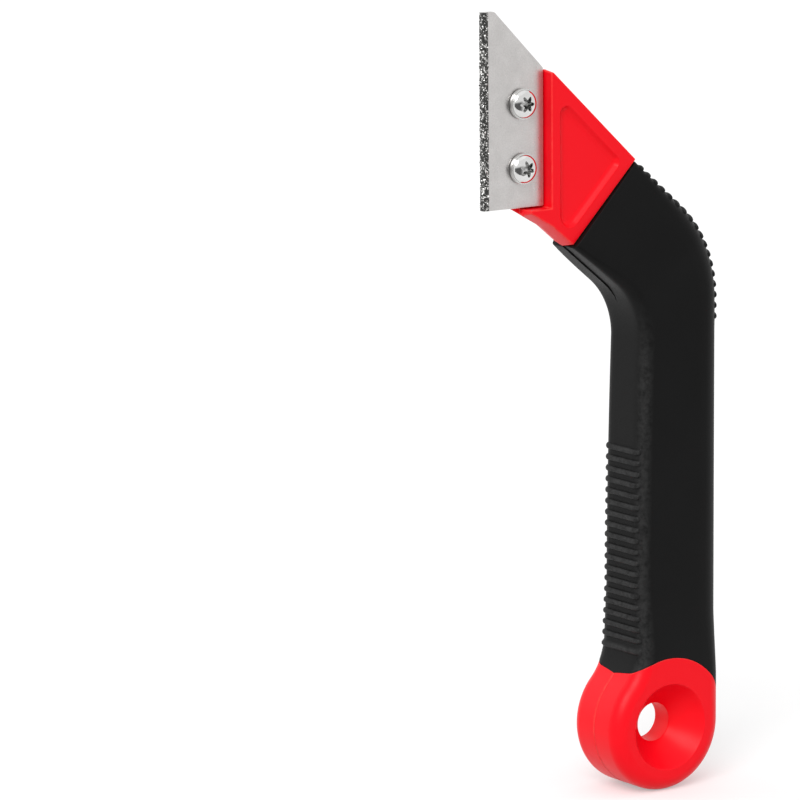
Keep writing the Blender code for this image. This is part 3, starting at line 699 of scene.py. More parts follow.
def make_head():
    low_left = crossing(
        CHIN, (-math.cos(CHIN_SLOPE), math.sin(CHIN_SLOPE)), (SEAT_LEFT_X, 0), (0, 1)
    )
    outline = [
        HEAD_TOP, (SEAT_LEFT_X, HEAD_TOP[1]), low_left, CHIN,
        beyond_seam(HEAD_SEAM_FOOT, FINGER_RAIL.direction),
        beyond_seam(HEAD_SEAM_TOP, BACK_RAIL.direction),
    ]
    wide = inset(outline, [-HEAD_DRAFT, 0, -CHIN_DRAFT, -CHIN_DRAFT, 0, -HEAD_DRAFT])
    half = HEAD_THICKNESS / 2
    head = solid("red_handle_moulding", [(-half, outline), (0, wide), (half, outline)])
    edit(head)
    bpy.ops.mesh.select_all(action="SELECT")
    middle = Vector(in_space(SEAM_FINGER, 0)).lerp(in_space(SEAM_BACK, 0), 0.5)
    normal = Vector((SEAM_NORMAL[0], 0, SEAM_NORMAL[1]))
    bpy.ops.mesh.bisect(
        plane_co=middle - normal * VISIBLE_GAP / 2, plane_no=normal, use_fill=True,
        clear_outer=True,
    )
    leave()
    left, front = SEAT_LEFT_X + AXIS_X - CLEAR, -half - CLEAR
    seat = block("seat", (left, front, LEDGE_HEIGHT), (WALL_X + AXIS_X, SEAT_Y, HEAD_TOP[1] + CLEAR))
    combine(head, seat, "DIFFERENCE")
    ledge = block(
        "ledge_end", (left, front, CHIN[1]), (LEDGE_LEFT_X + AXIS_X, SEAT_Y, LEDGE_HEIGHT + CLEAR)
    )
    combine(head, ledge, "DIFFERENCE")
    return soft_edges(head, SOFT_EDGE)


head = make_head()
count(head)

# %% [markdown]
# Each side of the head has a shallow triangular pocket with round corners, a round rim, sloping
# walls and a soft foot. The way down from the face to the floor is drawn once, as pairs of inset
# and depth, and the cutter is a triangle with round corners that is extruded along that way.

# %% The pockets
POCKET_MARGINS = (3.2 * mm, 2.6 * mm, 3.2 * mm)
POCKET_DEPTH = 1.3 * mm
POCKET_SLOPE = 0.8
POCKET_CORNERS = (2.1 * mm, 2.1 * mm, 3.1 * mm)
POCKET_LIP, POCKET_FOOT = 0.35 * mm, 1.6 * mm
ROUND_STEPS = 5
OVERLAP = 0.01 * mm


def pocket_way():
    """(inset, depth) pairs from above the face, over the rim, down to the floor."""
    outside, edge = (-CLEAR, -OVERLAP), (-OVERLAP * POCKET_SLOPE, -OVERLAP)
    foot = (POCKET_DEPTH * POCKET_SLOPE, POCKET_DEPTH)
    rim = round_corner(outside, edge, foot, POCKET_LIP, ROUND_STEPS)
    base = round_corner(edge, foot, (CLEAR, POCKET_DEPTH), POCKET_FOOT, ROUND_STEPS)
    return [(rim[0][0], -mm)] + rim + base


def pocket_cutter(side):
    corner = crossing(SEAM_BACK, SEAM_ALONG, HEAD_SEAM_TOP, BACK_RAIL.direction)
    top = crossing((WALL_X, 0), (0, 1), HEAD_SEAM_TOP, BACK_RAIL.direction)
    foot = crossing((WALL_X, 0), (0, 1), SEAM_BACK, SEAM_ALONG)
    layers = []
    for inwards, depth in pocket_way():
        a, b, c = inset([corner, top, foot], [margin + inwards for margin in POCKET_MARGINS])
        spots = []
        for around, radius in zip(((c, a, b), (a, b, c), (b, c, a)), POCKET_CORNERS):
            spots += round_corner(*around, radius - inwards, 2 * ROUND_STEPS)
        layers.append((side * (HEAD_THICKNESS / 2 - depth), spots))
    return solid("pocket_cutter", layers)


for side in (-1, 1):
    combine(head, pocket_cutter(side), "DIFFERENCE")
count(head)

# %% [markdown]
# The blade's place follows from the seat. Its two screws pass through the head into nuts on the far
# side, so the head gets their holes, and hexagon pockets that hold the nuts.

# %% Screw holes and nut pockets
BLADE_FOOT = LEDGE_HEIGHT + 0.5 * mm
BLADE_TOP = BLADE_FOOT + 51.0 * mm
BLADE_BACK_X = WALL_X - 0.4 * mm
BLADE_EDGE_X = BLADE_BACK_X - 18.2 * mm
BLADE_FRONT_Y, BLADE_REAR_Y = -0.8 * mm, 0.7 * mm
HOLE_X = BLADE_BACK_X - 7.0 * mm
HOLE_HEIGHTS = {"upper": BLADE_FOOT + 26.9 * mm, "lower": BLADE_FOOT + 10.2 * mm}
SHANK_RADIUS = 1.95 * mm
NUT_FLOOR_Y = SEAT_Y + 1.2 * mm
NUT_ACROSS_FLATS = 7.0 * mm
NUT_ROUND = NUT_ACROSS_FLATS / 2 / math.cos(math.pi / 6)

for height in HOLE_HEIGHTS.values():
    spot = (HOLE_X, height)
    combine(head, drum("shank_hole", spot, SHANK_RADIUS + GAP, -CLEAR, 2 * CLEAR, 48), "DIFFERENCE")
    round_radius = NUT_ROUND + GAP / math.cos(math.pi / 6)
    combine(head, drum("nut_pocket", spot, round_radius, NUT_FLOOR_Y, 2 * CLEAR, 6), "DIFFERENCE")
count(head)

# %% [markdown]
# The eye ring is a thick plate with large round edges. Its outline runs round the ring, up the back
# and down the flare. It is extruded, its two rims are rounded by an edge bevel, and a fine groove
# runs round it where the mould's halves met.

# %% The eye ring
RING_STEPS = 150
FLARE_STEPS = 18
NECK_TOP = 46 * mm
GROOVE_HALF = 0.14 * mm
GROOVE_DEPTH = 0.1 * mm
SHOULDER_EDGE = 0.2 * mm


def ring_outline():
    outline = arc(RING_CENTRE, RING_RADIUS, math.tau, FLARE_TOUCH + math.pi, RING_STEPS)
    outline += arc(FLARE_CENTRE, FLARE_RADIUS, FLARE_TOUCH, 0, FLARE_STEPS)[1:]
    return outline + [(FLARE_X, NECK_TOP), (BACK_X, NECK_TOP)]


def make_ring():
    half = RING_THICKNESS / 2
    outline = ring_outline()
    ring = solid("eye_ring", [(-half, outline), (half, outline)])
    edit(ring)
    pick(ring, "EDGE", lambda e: abs(e.verts[0].co.y - e.verts[1].co.y) < WELD)
    bpy.ops.mesh.bevel(offset=RING_EDGE_RADIUS, segments=10, affect="EDGES", profile=0.5)
    for y in (-GROOVE_HALF, 0, GROOVE_HALF):
        bpy.ops.mesh.select_all(action="SELECT")
        bpy.ops.mesh.bisect(plane_co=(0, y, 0), plane_no=(0, 1, 0))
    pick(ring, "VERT", lambda v: abs(v.co.y) < WELD)
    bpy.ops.transform.shrink_fatten(value=-GROOVE_DEPTH)
    leave()
    combine(ring, shoulder_drum("shoulder", SEAM_RADIUS - VISIBLE_GAP / 2), "INTERSECT")
    return soft_edges(ring, SHOULDER_EDGE, steps=2)


eye_ring = make_ring()
count(eye_ring)

# %% [markdown]
# The eye is a short bore with a bowl on each side. Its cutter is turned as on a lathe: a profile is
# drawn point by point, by extruding a single vertex, and then spun round the eye's axis.

# %% The lathe
def lathe(name, spot, profile, steps):
    """Spins a profile of (radius, y) pairs, first and last on the axis, round a plane point."""
    bpy.ops.object.select_all(action="DESELECT")
    bpy.ops.mesh.primitive_plane_add(size=1 * mm, location=in_space(spot, profile[0][1]))
    piece = newly_made(name)
    edit(piece)
    bpy.ops.mesh.merge(type="CENTER")
    for (radius, y), (next_radius, next_y) in zip(profile, profile[1:]):
        bpy.ops.mesh.extrude_vertices_move(
            TRANSFORM_OT_translate={"value": (next_radius - radius, next_y - y, 0)}
        )
    bpy.ops.mesh.select_all(action="SELECT")
    bpy.ops.mesh.spin(
        steps=steps, angle=math.tau, center=in_space(spot, 0), axis=(0, 1, 0), use_auto_merge=True
    )
    leave()
    return tidy(piece)


EYE_MOUTH = 11.6 * mm
EYE_BORE = 5.2 * mm
EYE_WEB = 3.0 * mm
EYE_BULGE = 0.4 * mm
EYE_LIP, BORE_LIP = 0.35 * mm, 0.5 * mm
BOWL_STEPS = 14
EYE_STEPS = 128


def eye_cutter():
    half = RING_THICKNESS / 2
    bowl = []
    for k in range(BOWL_STEPS + 1):
        share = k / BOWL_STEPS
        radius = EYE_BORE + (EYE_MOUTH - EYE_BORE) * share + EYE_BULGE * math.sin(math.pi * share)
        bowl.append((radius, EYE_WEB + (half + OVERLAP - EYE_WEB) * share))
    rim = round_corner(bowl[-2], bowl[-1], (2 * EYE_MOUTH, bowl[-1][1]), EYE_LIP, ROUND_STEPS)
    edge = round_corner((EYE_BORE, 0), bowl[0], bowl[1], BORE_LIP, ROUND_STEPS)
    rear = edge + bowl[2:-1] + rim + [(rim[-1][0], half + CLEAR), (0, half + CLEAR)]
    return lathe("eye_cutter", RING_CENTRE, [(r, -y) for r, y in reversed(rear)] + rear, EYE_STEPS)


combine(eye_ring, eye_cutter(), "DIFFERENCE")
count(eye_ring)

# %% [markdown]
# Inside the grip, a plain spine joins the ring to the head. It can't be seen, so it has few
# corners. Then the three are made one body, as the moulding is.

# %% The spine and the whole red moulding
SPINE_RUNS = (0.0, 0.5, 1.0, 1.25, 1.5, 1.75, 2.0, 2.5, 3.0, 3.6)
SPINE_INSET = 3.0 * mm


def spine_ring(run):
    finger, back, thin, thick, _, _ = section_sizes(run)
    width = math.dist(finger, back)
    along = Vector(((back[0] - finger[0]) / width, 0, (back[1] - finger[1]) / width))
    start = in_space(finger, 0)
    half = min(thin, thick) - SPINE_INSET
    ring = []
    for distance, side in ((SPINE_INSET, -1), (width - SPINE_INSET, -1), (width - SPINE_INSET, 1),
                           (SPINE_INSET, 1)):
        ring.append(start + along * distance + Vector((0, side * half, 0)))
    return ring


spine_rings = [spine_ring(run) for run in SPINE_RUNS]
reach = Vector((SEAM_NORMAL[0], 0, SEAM_NORMAL[1])) * 2 * mm
spine = tidy(skin("spine", [[point - reach for point in spine_rings[0]]] + spine_rings))
red_moulding = combine(combine(head, spine, "UNION"), eye_ring, "UNION")
count(smooth(red_moulding))

# %% [markdown]
# The blade is a plate of tool steel, square at its foot and cut off at 45 degrees at its tip. Two
# holes take its screws. Its corners are rounded by a vertex bevel while it is still a flat outline.

# %% The blade
BLADE_TIP_WIDTH = 2.9 * mm
BLADE_CORNER = 0.35 * mm
BLADE_EDGE = 0.1 * mm
HOLE_RADIUS = 2.8 * mm


def make_blade():
    slant = BLADE_BACK_X - BLADE_EDGE_X - BLADE_TIP_WIDTH
    outline = [
        (BLADE_BACK_X, BLADE_FOOT), (BLADE_BACK_X, BLADE_TOP - slant),
        (BLADE_EDGE_X + BLADE_TIP_WIDTH, BLADE_TOP), (BLADE_EDGE_X, BLADE_TOP),
        (BLADE_EDGE_X, BLADE_FOOT),
    ]
    blade = outline_face("steel_blade", outline, BLADE_FRONT_Y)
    bpy.ops.mesh.select_mode(type="VERT")
    bpy.ops.mesh.select_all(action="SELECT")
    bpy.ops.mesh.bevel(affect="VERTICES", offset=BLADE_CORNER, segments=6)
    bpy.ops.mesh.select_all(action="SELECT")
    bpy.ops.mesh.extrude_region_move(
        TRANSFORM_OT_translate={"value": (0, BLADE_REAR_Y - BLADE_FRONT_Y, 0)}
    )
    leave()
    soft_edges(tidy(blade), BLADE_EDGE, steps=2, angle=math.radians(60))
    for height in HOLE_HEIGHTS.values():
        hole = drum("hole", (HOLE_X, height), HOLE_RADIUS, -CLEAR, CLEAR, 64)
        combine(blade, hole, "DIFFERENCE")
    return smooth(blade)


steel_blade = make_blade()
count(steel_blade)

# %% [markdown]
# Grains of tungsten carbide are brazed to the working edge. A few grains are modelled first: a
# small ball of flat faces is cut by a handful of planes, as a crushed grain is. Then each is copied
# hundreds of times, turned and sized at random from a fixed seed, over both sides of the strip and
# round the edge, on a thin bed of braze.

# %% Grains
GRIT_DEPTH = 0.8 * mm
GRIT_COAT = 0.35 * mm
GRIT_EDGE_COAT = 1.1 * mm
GRAIN_KINDS = 8
GRAIN_COUNT = 1400
GRAIN_SIZES = (0.18 * mm, 0.44 * mm)
DARK_SHARE = 0.53
random.seed(20)


def random_direction():
    z = random.uniform(-1, 1)
    angle = random.uniform(0, math.tau)
    flat = math.sqrt(1 - z * z)
    return Vector((flat * math.cos(angle), flat * math.sin(angle), z))


def crushed_grain(index):
    bpy.ops.object.select_all(action="DESELECT")
    bpy.ops.mesh.primitive_ico_sphere_add(subdivisions=1, radius=1)
    grain = newly_made(f"grain_{index}")
    edit(grain)
    for _ in range(4):
        out = random_direction()
        bpy.ops.mesh.select_all(action="SELECT")
        bpy.ops.mesh.bisect(
            plane_co=out * random.uniform(0.45, 0.75), plane_no=out, use_fill=True, clear_outer=True
        )
    leave()
    tidy(grain)
    shape = ([v.co.copy() for v in grain.data.vertices], [tuple(p.vertices) for p in grain.data.polygons])
    bpy.data.objects.remove(grain, do_unlink=True)
    return shape


GRAINS = [crushed_grain(i) for i in range(GRAIN_KINDS)]
print("faces of the grains:", [len(faces) for _, faces in GRAINS])


# %% [markdown]
# The bed is a channel round the blade's edge. Grains are dropped on its outline, which is measured
# from the rear of one side, round the nose, to the rear of the other.

# %% The bed and its grains
MIDDLE_Y = (BLADE_FRONT_Y + BLADE_REAR_Y) / 2
HALF_STEEL = (BLADE_REAR_Y - BLADE_FRONT_Y) / 2
BED = 0.12 * mm
NOSE_BED = 0.8 * mm
NOSE_SHARE = 0.85


def bed_profile(inner):
    """The channel's outline in (x, y), from one open end to the other."""
    half = HALF_STEEL + (0.02 * mm if inner else BED)
    nose = 0.02 * mm if inner else NOSE_BED
    return [
        (GRIT_DEPTH, -half), (0, -half), (-nose, -half * (1 if inner else NOSE_SHARE)),
        (-nose, half * (1 if inner else NOSE_SHARE)), (0, half), (GRIT_DEPTH, half),
    ]


def bed_place(share):
    """A place on the bed's outer outline and the direction out of it, at a share of its length."""
    points = [Vector(p) for p in bed_profile(False)]
    lengths = [(b - a).length for a, b in zip(points, points[1:])]
    left = share * sum(lengths)
    for a, b, length in zip(points, points[1:], lengths):
        if left <= length:
            break
        left -= length
    along = (b - a) / length
    return a + along * min(left, length), Vector((-along.y, along.x)) * -1


def make_bed():
    outer, inner = bed_profile(False), bed_profile(True)
    ring = outer + inner[::-1]
    levels = [BLADE_FOOT + 0.1 * mm, BLADE_TOP - 0.1 * mm]
    rings = [[Vector((BLADE_EDGE_X + AXIS_X + x, MIDDLE_Y + y, z)) for x, y in ring] for z in levels]
    return tidy(skin("carbide_grit_grains", rings))


def scatter_grains():
    """All grains as one mesh: the places of their corners, and their faces."""
    places, faces, tones = [], [], []
    for _ in range(GRAIN_COUNT):
        spot, out = bed_place(random.random())
        size = random.triangular(*GRAIN_SIZES, GRAIN_SIZES[0])
        height = random.uniform(BLADE_FOOT + size, BLADE_TOP - size)
        low_x = BLADE_EDGE_X - GRIT_EDGE_COAT
        lift = size * random.uniform(0.1, 0.65)
        x = max(BLADE_EDGE_X + spot.x + out.x * lift, low_x + size * 0.75)
        centre = Vector((x + AXIS_X, MIDDLE_Y + spot.y + out.y * lift, height))
        turn = random_direction().to_track_quat("Z", "Y").to_matrix()
        squash = Vector((random.uniform(0.8, 1.15), random.uniform(0.8, 1.15), random.uniform(0.7, 1)))
        corners, sides = random.choice(GRAINS)
        start = len(places)
        for corner in corners:
            place = centre + turn @ Vector(c * s * size for c, s in zip(corner, squash))
            place.x = max(place.x, low_x + AXIS_X)
            limit = HALF_STEEL + GAP + GRIT_COAT
            place.y = min(max(place.y, MIDDLE_Y - limit), MIDDLE_Y + limit)
            places.append(place)
        faces += [tuple(start + i for i in side) for side in sides]
        tone = random.uniform(0, 0.25) if random.random() < DARK_SHARE else random.uniform(0.6, 1)
        tones += [tone] * len(corners)
    return places, faces, tones


def make_grit():
    bed = make_bed()
    places, faces, tones = scatter_grains()
    mesh = bpy.data.meshes.new("grains")
    mesh.from_pydata(places, [], faces)
    grains = bpy.data.objects.new("grains", mesh)
    bpy.context.scene.collection.objects.link(grains)
    for piece, values in ((grains, tones), (bed, [0.0] * len(bed.data.vertices))):
        tone = piece.data.attributes.new("grain_tone", "FLOAT", "POINT")
        tone.data.foreach_set("value", values)
    bpy.ops.object.select_all(action="DESELECT")
    grains.select_set(True)
    bed.select_set(True)
    bpy.context.view_layer.objects.active = bed
    bpy.ops.object.join()
    take(bed)
    bpy.ops.object.shade_flat()
    return bed


carbide_grit = make_grit()
count(carbide_grit)

# %% [markdown]
# A pan head screw is turned on the lathe too: a low wall, a small rim radius, a domed top and a
# shank. Its thread is made by moving the shank's corners in and out along a helix, and a boolean
# with a six-lobed cutter sinks the drive. The second screw is a copy with its own mesh.

# %% The screws
SCREW_SEAT_Y = BLADE_FRONT_Y - GAP
HEAD_RADIUS = 4.0 * mm
HEAD_HEIGHT = 2.7 * mm
HEAD_WALL = 1.0 * mm
HEAD_RIM = 0.25 * mm
SCREW_LENGTH = 8.0 * mm
THREAD_PITCH = 0.7 * mm
THREAD_DEPTH = 0.33 * mm
TIP_CHAMFER = 0.4 * mm
SCREW_STEPS = 96
DOME_STEPS = 12
DRIVE_RADIUS, DRIVE_LOBE, DRIVE_DEPTH = 1.7 * mm, 0.52 * mm, 1.8 * mm


def screw_profile():
    """(radius, y) pairs from the middle of the dome to the middle of the tip."""
    top = SCREW_SEAT_Y - HEAD_HEIGHT
    wall_top = SCREW_SEAT_Y - HEAD_WALL
    rise = wall_top - top
    dome = [
        ((HEAD_RADIUS - HEAD_RIM) * math.sin(math.pi / 2 * k / DOME_STEPS),
         wall_top - rise * math.cos(math.pi / 2 * k / DOME_STEPS))
        for k in range(DOME_STEPS + 1)
    ]
    wall = [
        (HEAD_RADIUS - HEAD_RIM * 0.3, wall_top + HEAD_RIM * 0.15),
        (HEAD_RADIUS, wall_top + HEAD_RIM),
        (HEAD_RADIUS, SCREW_SEAT_Y - HEAD_RIM * 0.5),
        (HEAD_RADIUS - HEAD_RIM * 0.5, SCREW_SEAT_Y),
        (SHANK_RADIUS, SCREW_SEAT_Y),
    ]
    tip = SCREW_SEAT_Y + SCREW_LENGTH
    turns = [SCREW_SEAT_Y + 0.3 * mm]
    while turns[-1] + THREAD_PITCH / 6 < tip - TIP_CHAMFER:
        turns.append(turns[-1] + THREAD_PITCH / 6)
    shank = [(SHANK_RADIUS, y) for y in turns]
    return dome + wall + shank + [(SHANK_RADIUS - TIP_CHAMFER, tip), (0, tip)]


def cut_thread(screw, spot):
    axis = in_space(spot, 0)
    start = SCREW_SEAT_Y + 0.6 * mm
    for corner in screw.data.vertices:
        away = corner.co - axis
        if corner.co.y < start or math.hypot(away.x, away.z) < SHANK_RADIUS * 0.9:
            continue
        turn = math.atan2(away.z, away.x) / math.tau + (corner.co.y - start) / THREAD_PITCH
        share = abs(2 * (turn - math.floor(turn)) - 1)
        flat = Vector((away.x, 0, away.z)).normalized()
        fade = min(1, (corner.co.y - start) / THREAD_PITCH)
        corner.co -= flat * THREAD_DEPTH * share * fade


def drive_cutter(spot):
    outline = []
    for i in range(96):
        angle = math.tau * i / 96
        radius = DRIVE_RADIUS + DRIVE_LOBE * math.cos(6 * angle)
        outline.append((spot[0] + radius * math.cos(angle), spot[1] + radius * math.sin(angle)))
    top = SCREW_SEAT_Y - HEAD_HEIGHT
    centre = spot
    floor = [(centre[0] + (x - centre[0]) * 0.86, centre[1] + (z - centre[1]) * 0.86) for x, z in outline]
    return solid("drive", [(top - CLEAR, outline), (top + DRIVE_DEPTH * 0.8, outline), (top + DRIVE_DEPTH, floor)])


def make_screw(name, height):
    spot = (HOLE_X, height)
    screw = lathe(name, spot, screw_profile(), SCREW_STEPS)
    cut_thread(screw, spot)
    # The drive cutter's faces take the second slot, which later marks them for painted shade.
    return smooth(combine(two_slots(screw), two_slots(drive_cutter(spot), 1), "DIFFERENCE"))


upper_screw = make_screw("upper_blade_screw", HOLE_HEIGHTS["upper"])
lower_screw = upper_screw.copy()
lower_screw.data = upper_screw.data.copy()
lower_screw.name = "lower_blade_screw"
bpy.context.scene.collection.objects.link(lower_screw)
edit(lower_screw)
bpy.ops.mesh.select_all(action="SELECT")
bpy.ops.transform.rotate(
    value=math.radians(-17), orient_axis="Y",
    center_override=in_space((HOLE_X, HOLE_HEIGHTS["upper"]), 0),
)
bpy.ops.transform.translate(value=(0, 0, HOLE_HEIGHTS["lower"] - HOLE_HEIGHTS["upper"]))
leave()
count(upper_screw)

# %% [markdown]
# A nut is a six-sided bar whose corners are turned off by a cone and whose middle is bored. It sits
# in its pocket on the far side of the head.

# %% The nuts
NUT_THICKNESS = 3.2 * mm
NUT_FRONT_Y = NUT_FLOOR_Y + GAP
NUT_REAR_Y = NUT_FRONT_Y + NUT_THICKNESS


def make_nut(name, height):
    spot = (HOLE_X, height)
    nut = drum(name, spot, NUT_ROUND, NUT_FRONT_Y, NUT_REAR_Y, 6)
    low, high = NUT_FRONT_Y, NUT_REAR_Y
    inner = NUT_ACROSS_FLATS / 2 * 0.96
    cone = lathe(
        "nut_cone", spot,
        [(0, low), (inner, low), (NUT_ROUND * 1.03, low + 0.55 * mm), (NUT_ROUND * 1.03, high - 0.55 * mm),
         (inner, high), (0, high)], 72,
    )
    soft_edges(combine(nut, cone, "INTERSECT"), 0.08 * mm, steps=2)
    bore = lathe(
        "nut_bore", spot,
        [(0, low - mm), (2.6 * mm, low - mm), (2.6 * mm, low - 0.01 * mm), (2.02 * mm, low + 0.5 * mm),
         (2.02 * mm, high - 0.5 * mm), (2.6 * mm, high + 0.01 * mm), (2.6 * mm, high + mm), (0, high + mm)], 72,
    )
    return smooth(combine(nut, bore, "DIFFERENCE"))


nuts = {level: make_nut(level + "_captive_nut", height) for level, height in HOLE_HEIGHTS.items()}
count(nuts["upper"])

# %% [markdown]
# Finishes come next. Three effects return in several materials, so each is a node group with named
# inputs: a fine speckle, slow blotches, and a mask that the models carry as an attribute. The mask
# marks worn soft edges, which on the red moulding are also a painted highlight, painted highlight
# on the grip's rib crests and finger corner, and painted shade in the screws' drives. They put out
# plain numbers, and each material mixes its own colours with them.

# %% Shared effects
def start_group(name, inputs, outputs):
    """An empty node group with float inputs, given as (name, default), and float outputs."""
    group = bpy.data.node_groups.new(name, "ShaderNodeTree")
    for title, default in inputs:
        socket = group.interface.new_socket(title, in_out="INPUT", socket_type="NodeSocketFloat")
        socket.default_value = default
    for title in outputs:
        group.interface.new_socket(title, in_out="OUTPUT", socket_type="NodeSocketFloat")
    return group, group.nodes.new("NodeGroupInput"), group.nodes.new("NodeGroupOutput")


def add_node(tree, kind, settings=(), values=()):
    node = tree.nodes.new(kind)
    for name, value in dict(settings).items():
        setattr(node, name, value)
    for name, value in dict(values).items():
        node.inputs[name].default_value = value
    return node


def make_speckle():
    """Fine grain in Object coordinates, which may be stretched along the handle."""
    group, given, result = start_group("fine_speckle", [("Scale", 3000), ("Stretch", 1)], ["Speckle"])
    place = add_node(group, "ShaderNodeTexCoord")
    stretch = add_node(group, "ShaderNodeCombineXYZ", values={"X": 1, "Y": 1})
    scaled = add_node(group, "ShaderNodeVectorMath", {"operation": "MULTIPLY"})
    noise = add_node(group, "ShaderNodeTexNoise", values={"Detail": 3, "Roughness": 0.6})
    link = group.links.new
    link(given.outputs["Stretch"], stretch.inputs["Z"])
    link(place.outputs["Object"], scaled.inputs[0])
    link(stretch.outputs["Vector"], scaled.inputs[1])
    link(scaled.outputs["Vector"], noise.inputs["Vector"])
    link(given.outputs["Scale"], noise.inputs["Scale"])
    link(noise.outputs["Fac"], result.inputs["Speckle"])
    return group


def make_blotches():
    """Slow unevenness, as of handling and of the mould's own polish."""
    group, given, result = start_group("slow_blotches", [("Scale", 60), ("Contrast", 1)], ["Blotch"])
    place = add_node(group, "ShaderNodeTexCoord")
    noise = add_node(group, "ShaderNodeTexNoise", values={"Detail": 4, "Roughness": 0.55, "Distortion": 0.4})
    spread = add_node(group, "ShaderNodeMath", {"operation": "MULTIPLY_ADD", "use_clamp": True})
    centre = add_node(group, "ShaderNodeMath", {"operation": "SUBTRACT"}, {1: 0.5})
    link = group.links.new
    link(place.outputs["Object"], noise.inputs["Vector"])
    link(given.outputs["Scale"], noise.inputs["Scale"])
    link(noise.outputs["Fac"], centre.inputs[0])
    link(centre.outputs["Value"], spread.inputs[0])
    link(given.outputs["Contrast"], spread.inputs[1])
    spread.inputs[2].default_value = 0.5
    link(spread.outputs["Value"], result.inputs["Blotch"])
    return group


def make_wear_and_painted_light():
    """Worn edges, painted highlight and painted shade, where the models' mask has them, broken up by noise."""
    group, given, result = start_group("edge_wear_and_painted_light", [("Scale", 400)], ["Wear_and_painted_light"])
    edge = add_node(group, "ShaderNodeAttribute", {"attribute_name": "wear_and_painted_light_mask"})
    place = add_node(group, "ShaderNodeTexCoord")
    noise = add_node(group, "ShaderNodeTexNoise", values={"Detail": 5, "Roughness": 0.7})
    broken = add_node(group, "ShaderNodeMapRange", values={"From Min": 0.3, "From Max": 0.6})
    both = add_node(group, "ShaderNodeMath", {"operation": "MULTIPLY"})
    link = group.links.new
    link(place.outputs["Object"], noise.inputs["Vector"])
    link(given.outputs["Scale"], noise.inputs["Scale"])
    link(noise.outputs["Fac"], broken.inputs["Value"])
    link(edge.outputs["Fac"], both.inputs[0])
    link(broken.outputs["Result"], both.inputs[1])
    link(both.outputs["Value"], result.inputs["Wear_and_painted_light"])
    return group


SPECKLE, BLOTCHES, WEAR_AND_PAINTED_LIGHT = make_speckle(), make_blotches(), make_wear_and_painted_light()
print("shared effects:", [group.name for group in (SPECKLE, BLOTCHES, WEAR_AND_PAINTED_LIGHT)])


# %% A finish's usual nodes
class Finish:
    """A material with a Principled shader, and short ways to add nodes to it."""

    def __init__(self, name, **constants):
        self.material = bpy.data.materials.new(name)
        self.material.use_nodes = True
        self.tree = self.material.node_tree
        self.shader = self.tree.nodes["Principled BSDF"]
        for socket, value in constants.items():
            self.shader.inputs[socket.replace("_", " ")].default_value = value

    def effect(self, group, output, **values):
        node = self.tree.nodes.new("ShaderNodeGroup")
        node.node_tree = group
        for socket, value in values.items():
            node.inputs[socket].default_value = value
        return node.outputs[output]

    def blend(self, share, first, second):
        """A colour that runs from the first to the second as the share goes from 0 to 1."""
        node = add_node(self.tree, "ShaderNodeMix", {"data_type": "RGBA"})
        self.feed(share, node.inputs[0])
        self.feed(first, node.inputs[6])
        self.feed(second, node.inputs[7])
        return node.outputs[2]

    def span(self, share, low, high, start=0.0, end=1.0):
        node = add_node(
            self.tree, "ShaderNodeMapRange", (), {"From Min": start, "From Max": end, "To Min": low, "To Max": high}
        )
        self.feed(share, node.inputs["Value"])
        return node.outputs["Result"]

    def blend_plain(self, base, share, amount):
        """A number with a share of another added to it."""
        node = add_node(self.tree, "ShaderNodeMath", {"operation": "MULTIPLY_ADD"}, {1: amount})
        self.feed(share, node.inputs[0])
        self.feed(base, node.inputs[2])
        return node.outputs["Value"]

    def feed(self, source, socket):
        if isinstance(source, bpy.types.NodeSocket):
            self.tree.links.new(source, socket)
        else:
            socket.default_value = source if not isinstance(source, tuple) else (*source, 1)

    def bump(self, height, strength, distance, normal=None):
        node = add_node(self.tree, "ShaderNodeBump", (), {"Strength": strength, "Distance": distance})
        self.feed(height, node.inputs["Height"])
        if normal is not None:
            self.feed(normal, node.inputs["Normal"])
        return node.outputs["Normal"]

    def finish(self, colour, roughness, normal):
        self.feed(colour, self.shader.inputs["Base Color"])
        self.feed(roughness, self.shader.inputs["Roughness"])
        self.feed(normal, self.shader.inputs["Normal"])
        return self.material


# %% [markdown]
# The red plastic is a smooth moulding straight from the tool: strong even colour, a soft sheen with
# a fine grain in it, and soft edges painted paler, partly as scuffs and partly as a painted highlight.

# %% Red plastic
def red_plastic():
    red = Finish("red_handle_plastic", Specular_IOR_Level=0.18)
    blotch = red.effect(BLOTCHES, "Blotch", Scale=45, Contrast=1.2)
    speckle = red.effect(SPECKLE, "Speckle", Scale=2600)
    wear_and_painted_light = red.effect(WEAR_AND_PAINTED_LIGHT, "Wear_and_painted_light", Scale=500)
    colour = red.blend(blotch, (0.9, 0.0006, 0.008), (0.94, 0.001, 0.011))
    # Painted highlight and scuffs: the marked soft edges are painted a paler orange.
    colour = red.blend(red.span(wear_and_painted_light, 0, 0.4), colour, (0.95, 0.1, 0.08))
    roughness = red.blend_plain(red.span(speckle, 0.3, 0.4, 0.3, 0.7), blotch, 0.04)
    return red.finish(colour, roughness, red.bump(speckle, 0.15, 0.02 * mm))


# %% [markdown]
# The grip's rubber is matt and nearly black. Its mould was sandblasted, so it has a dense fine
# speckle, and the finger side shows faint marks down its length. Rib crests and the finger corner
# are painted a little greyer, as a painted highlight.

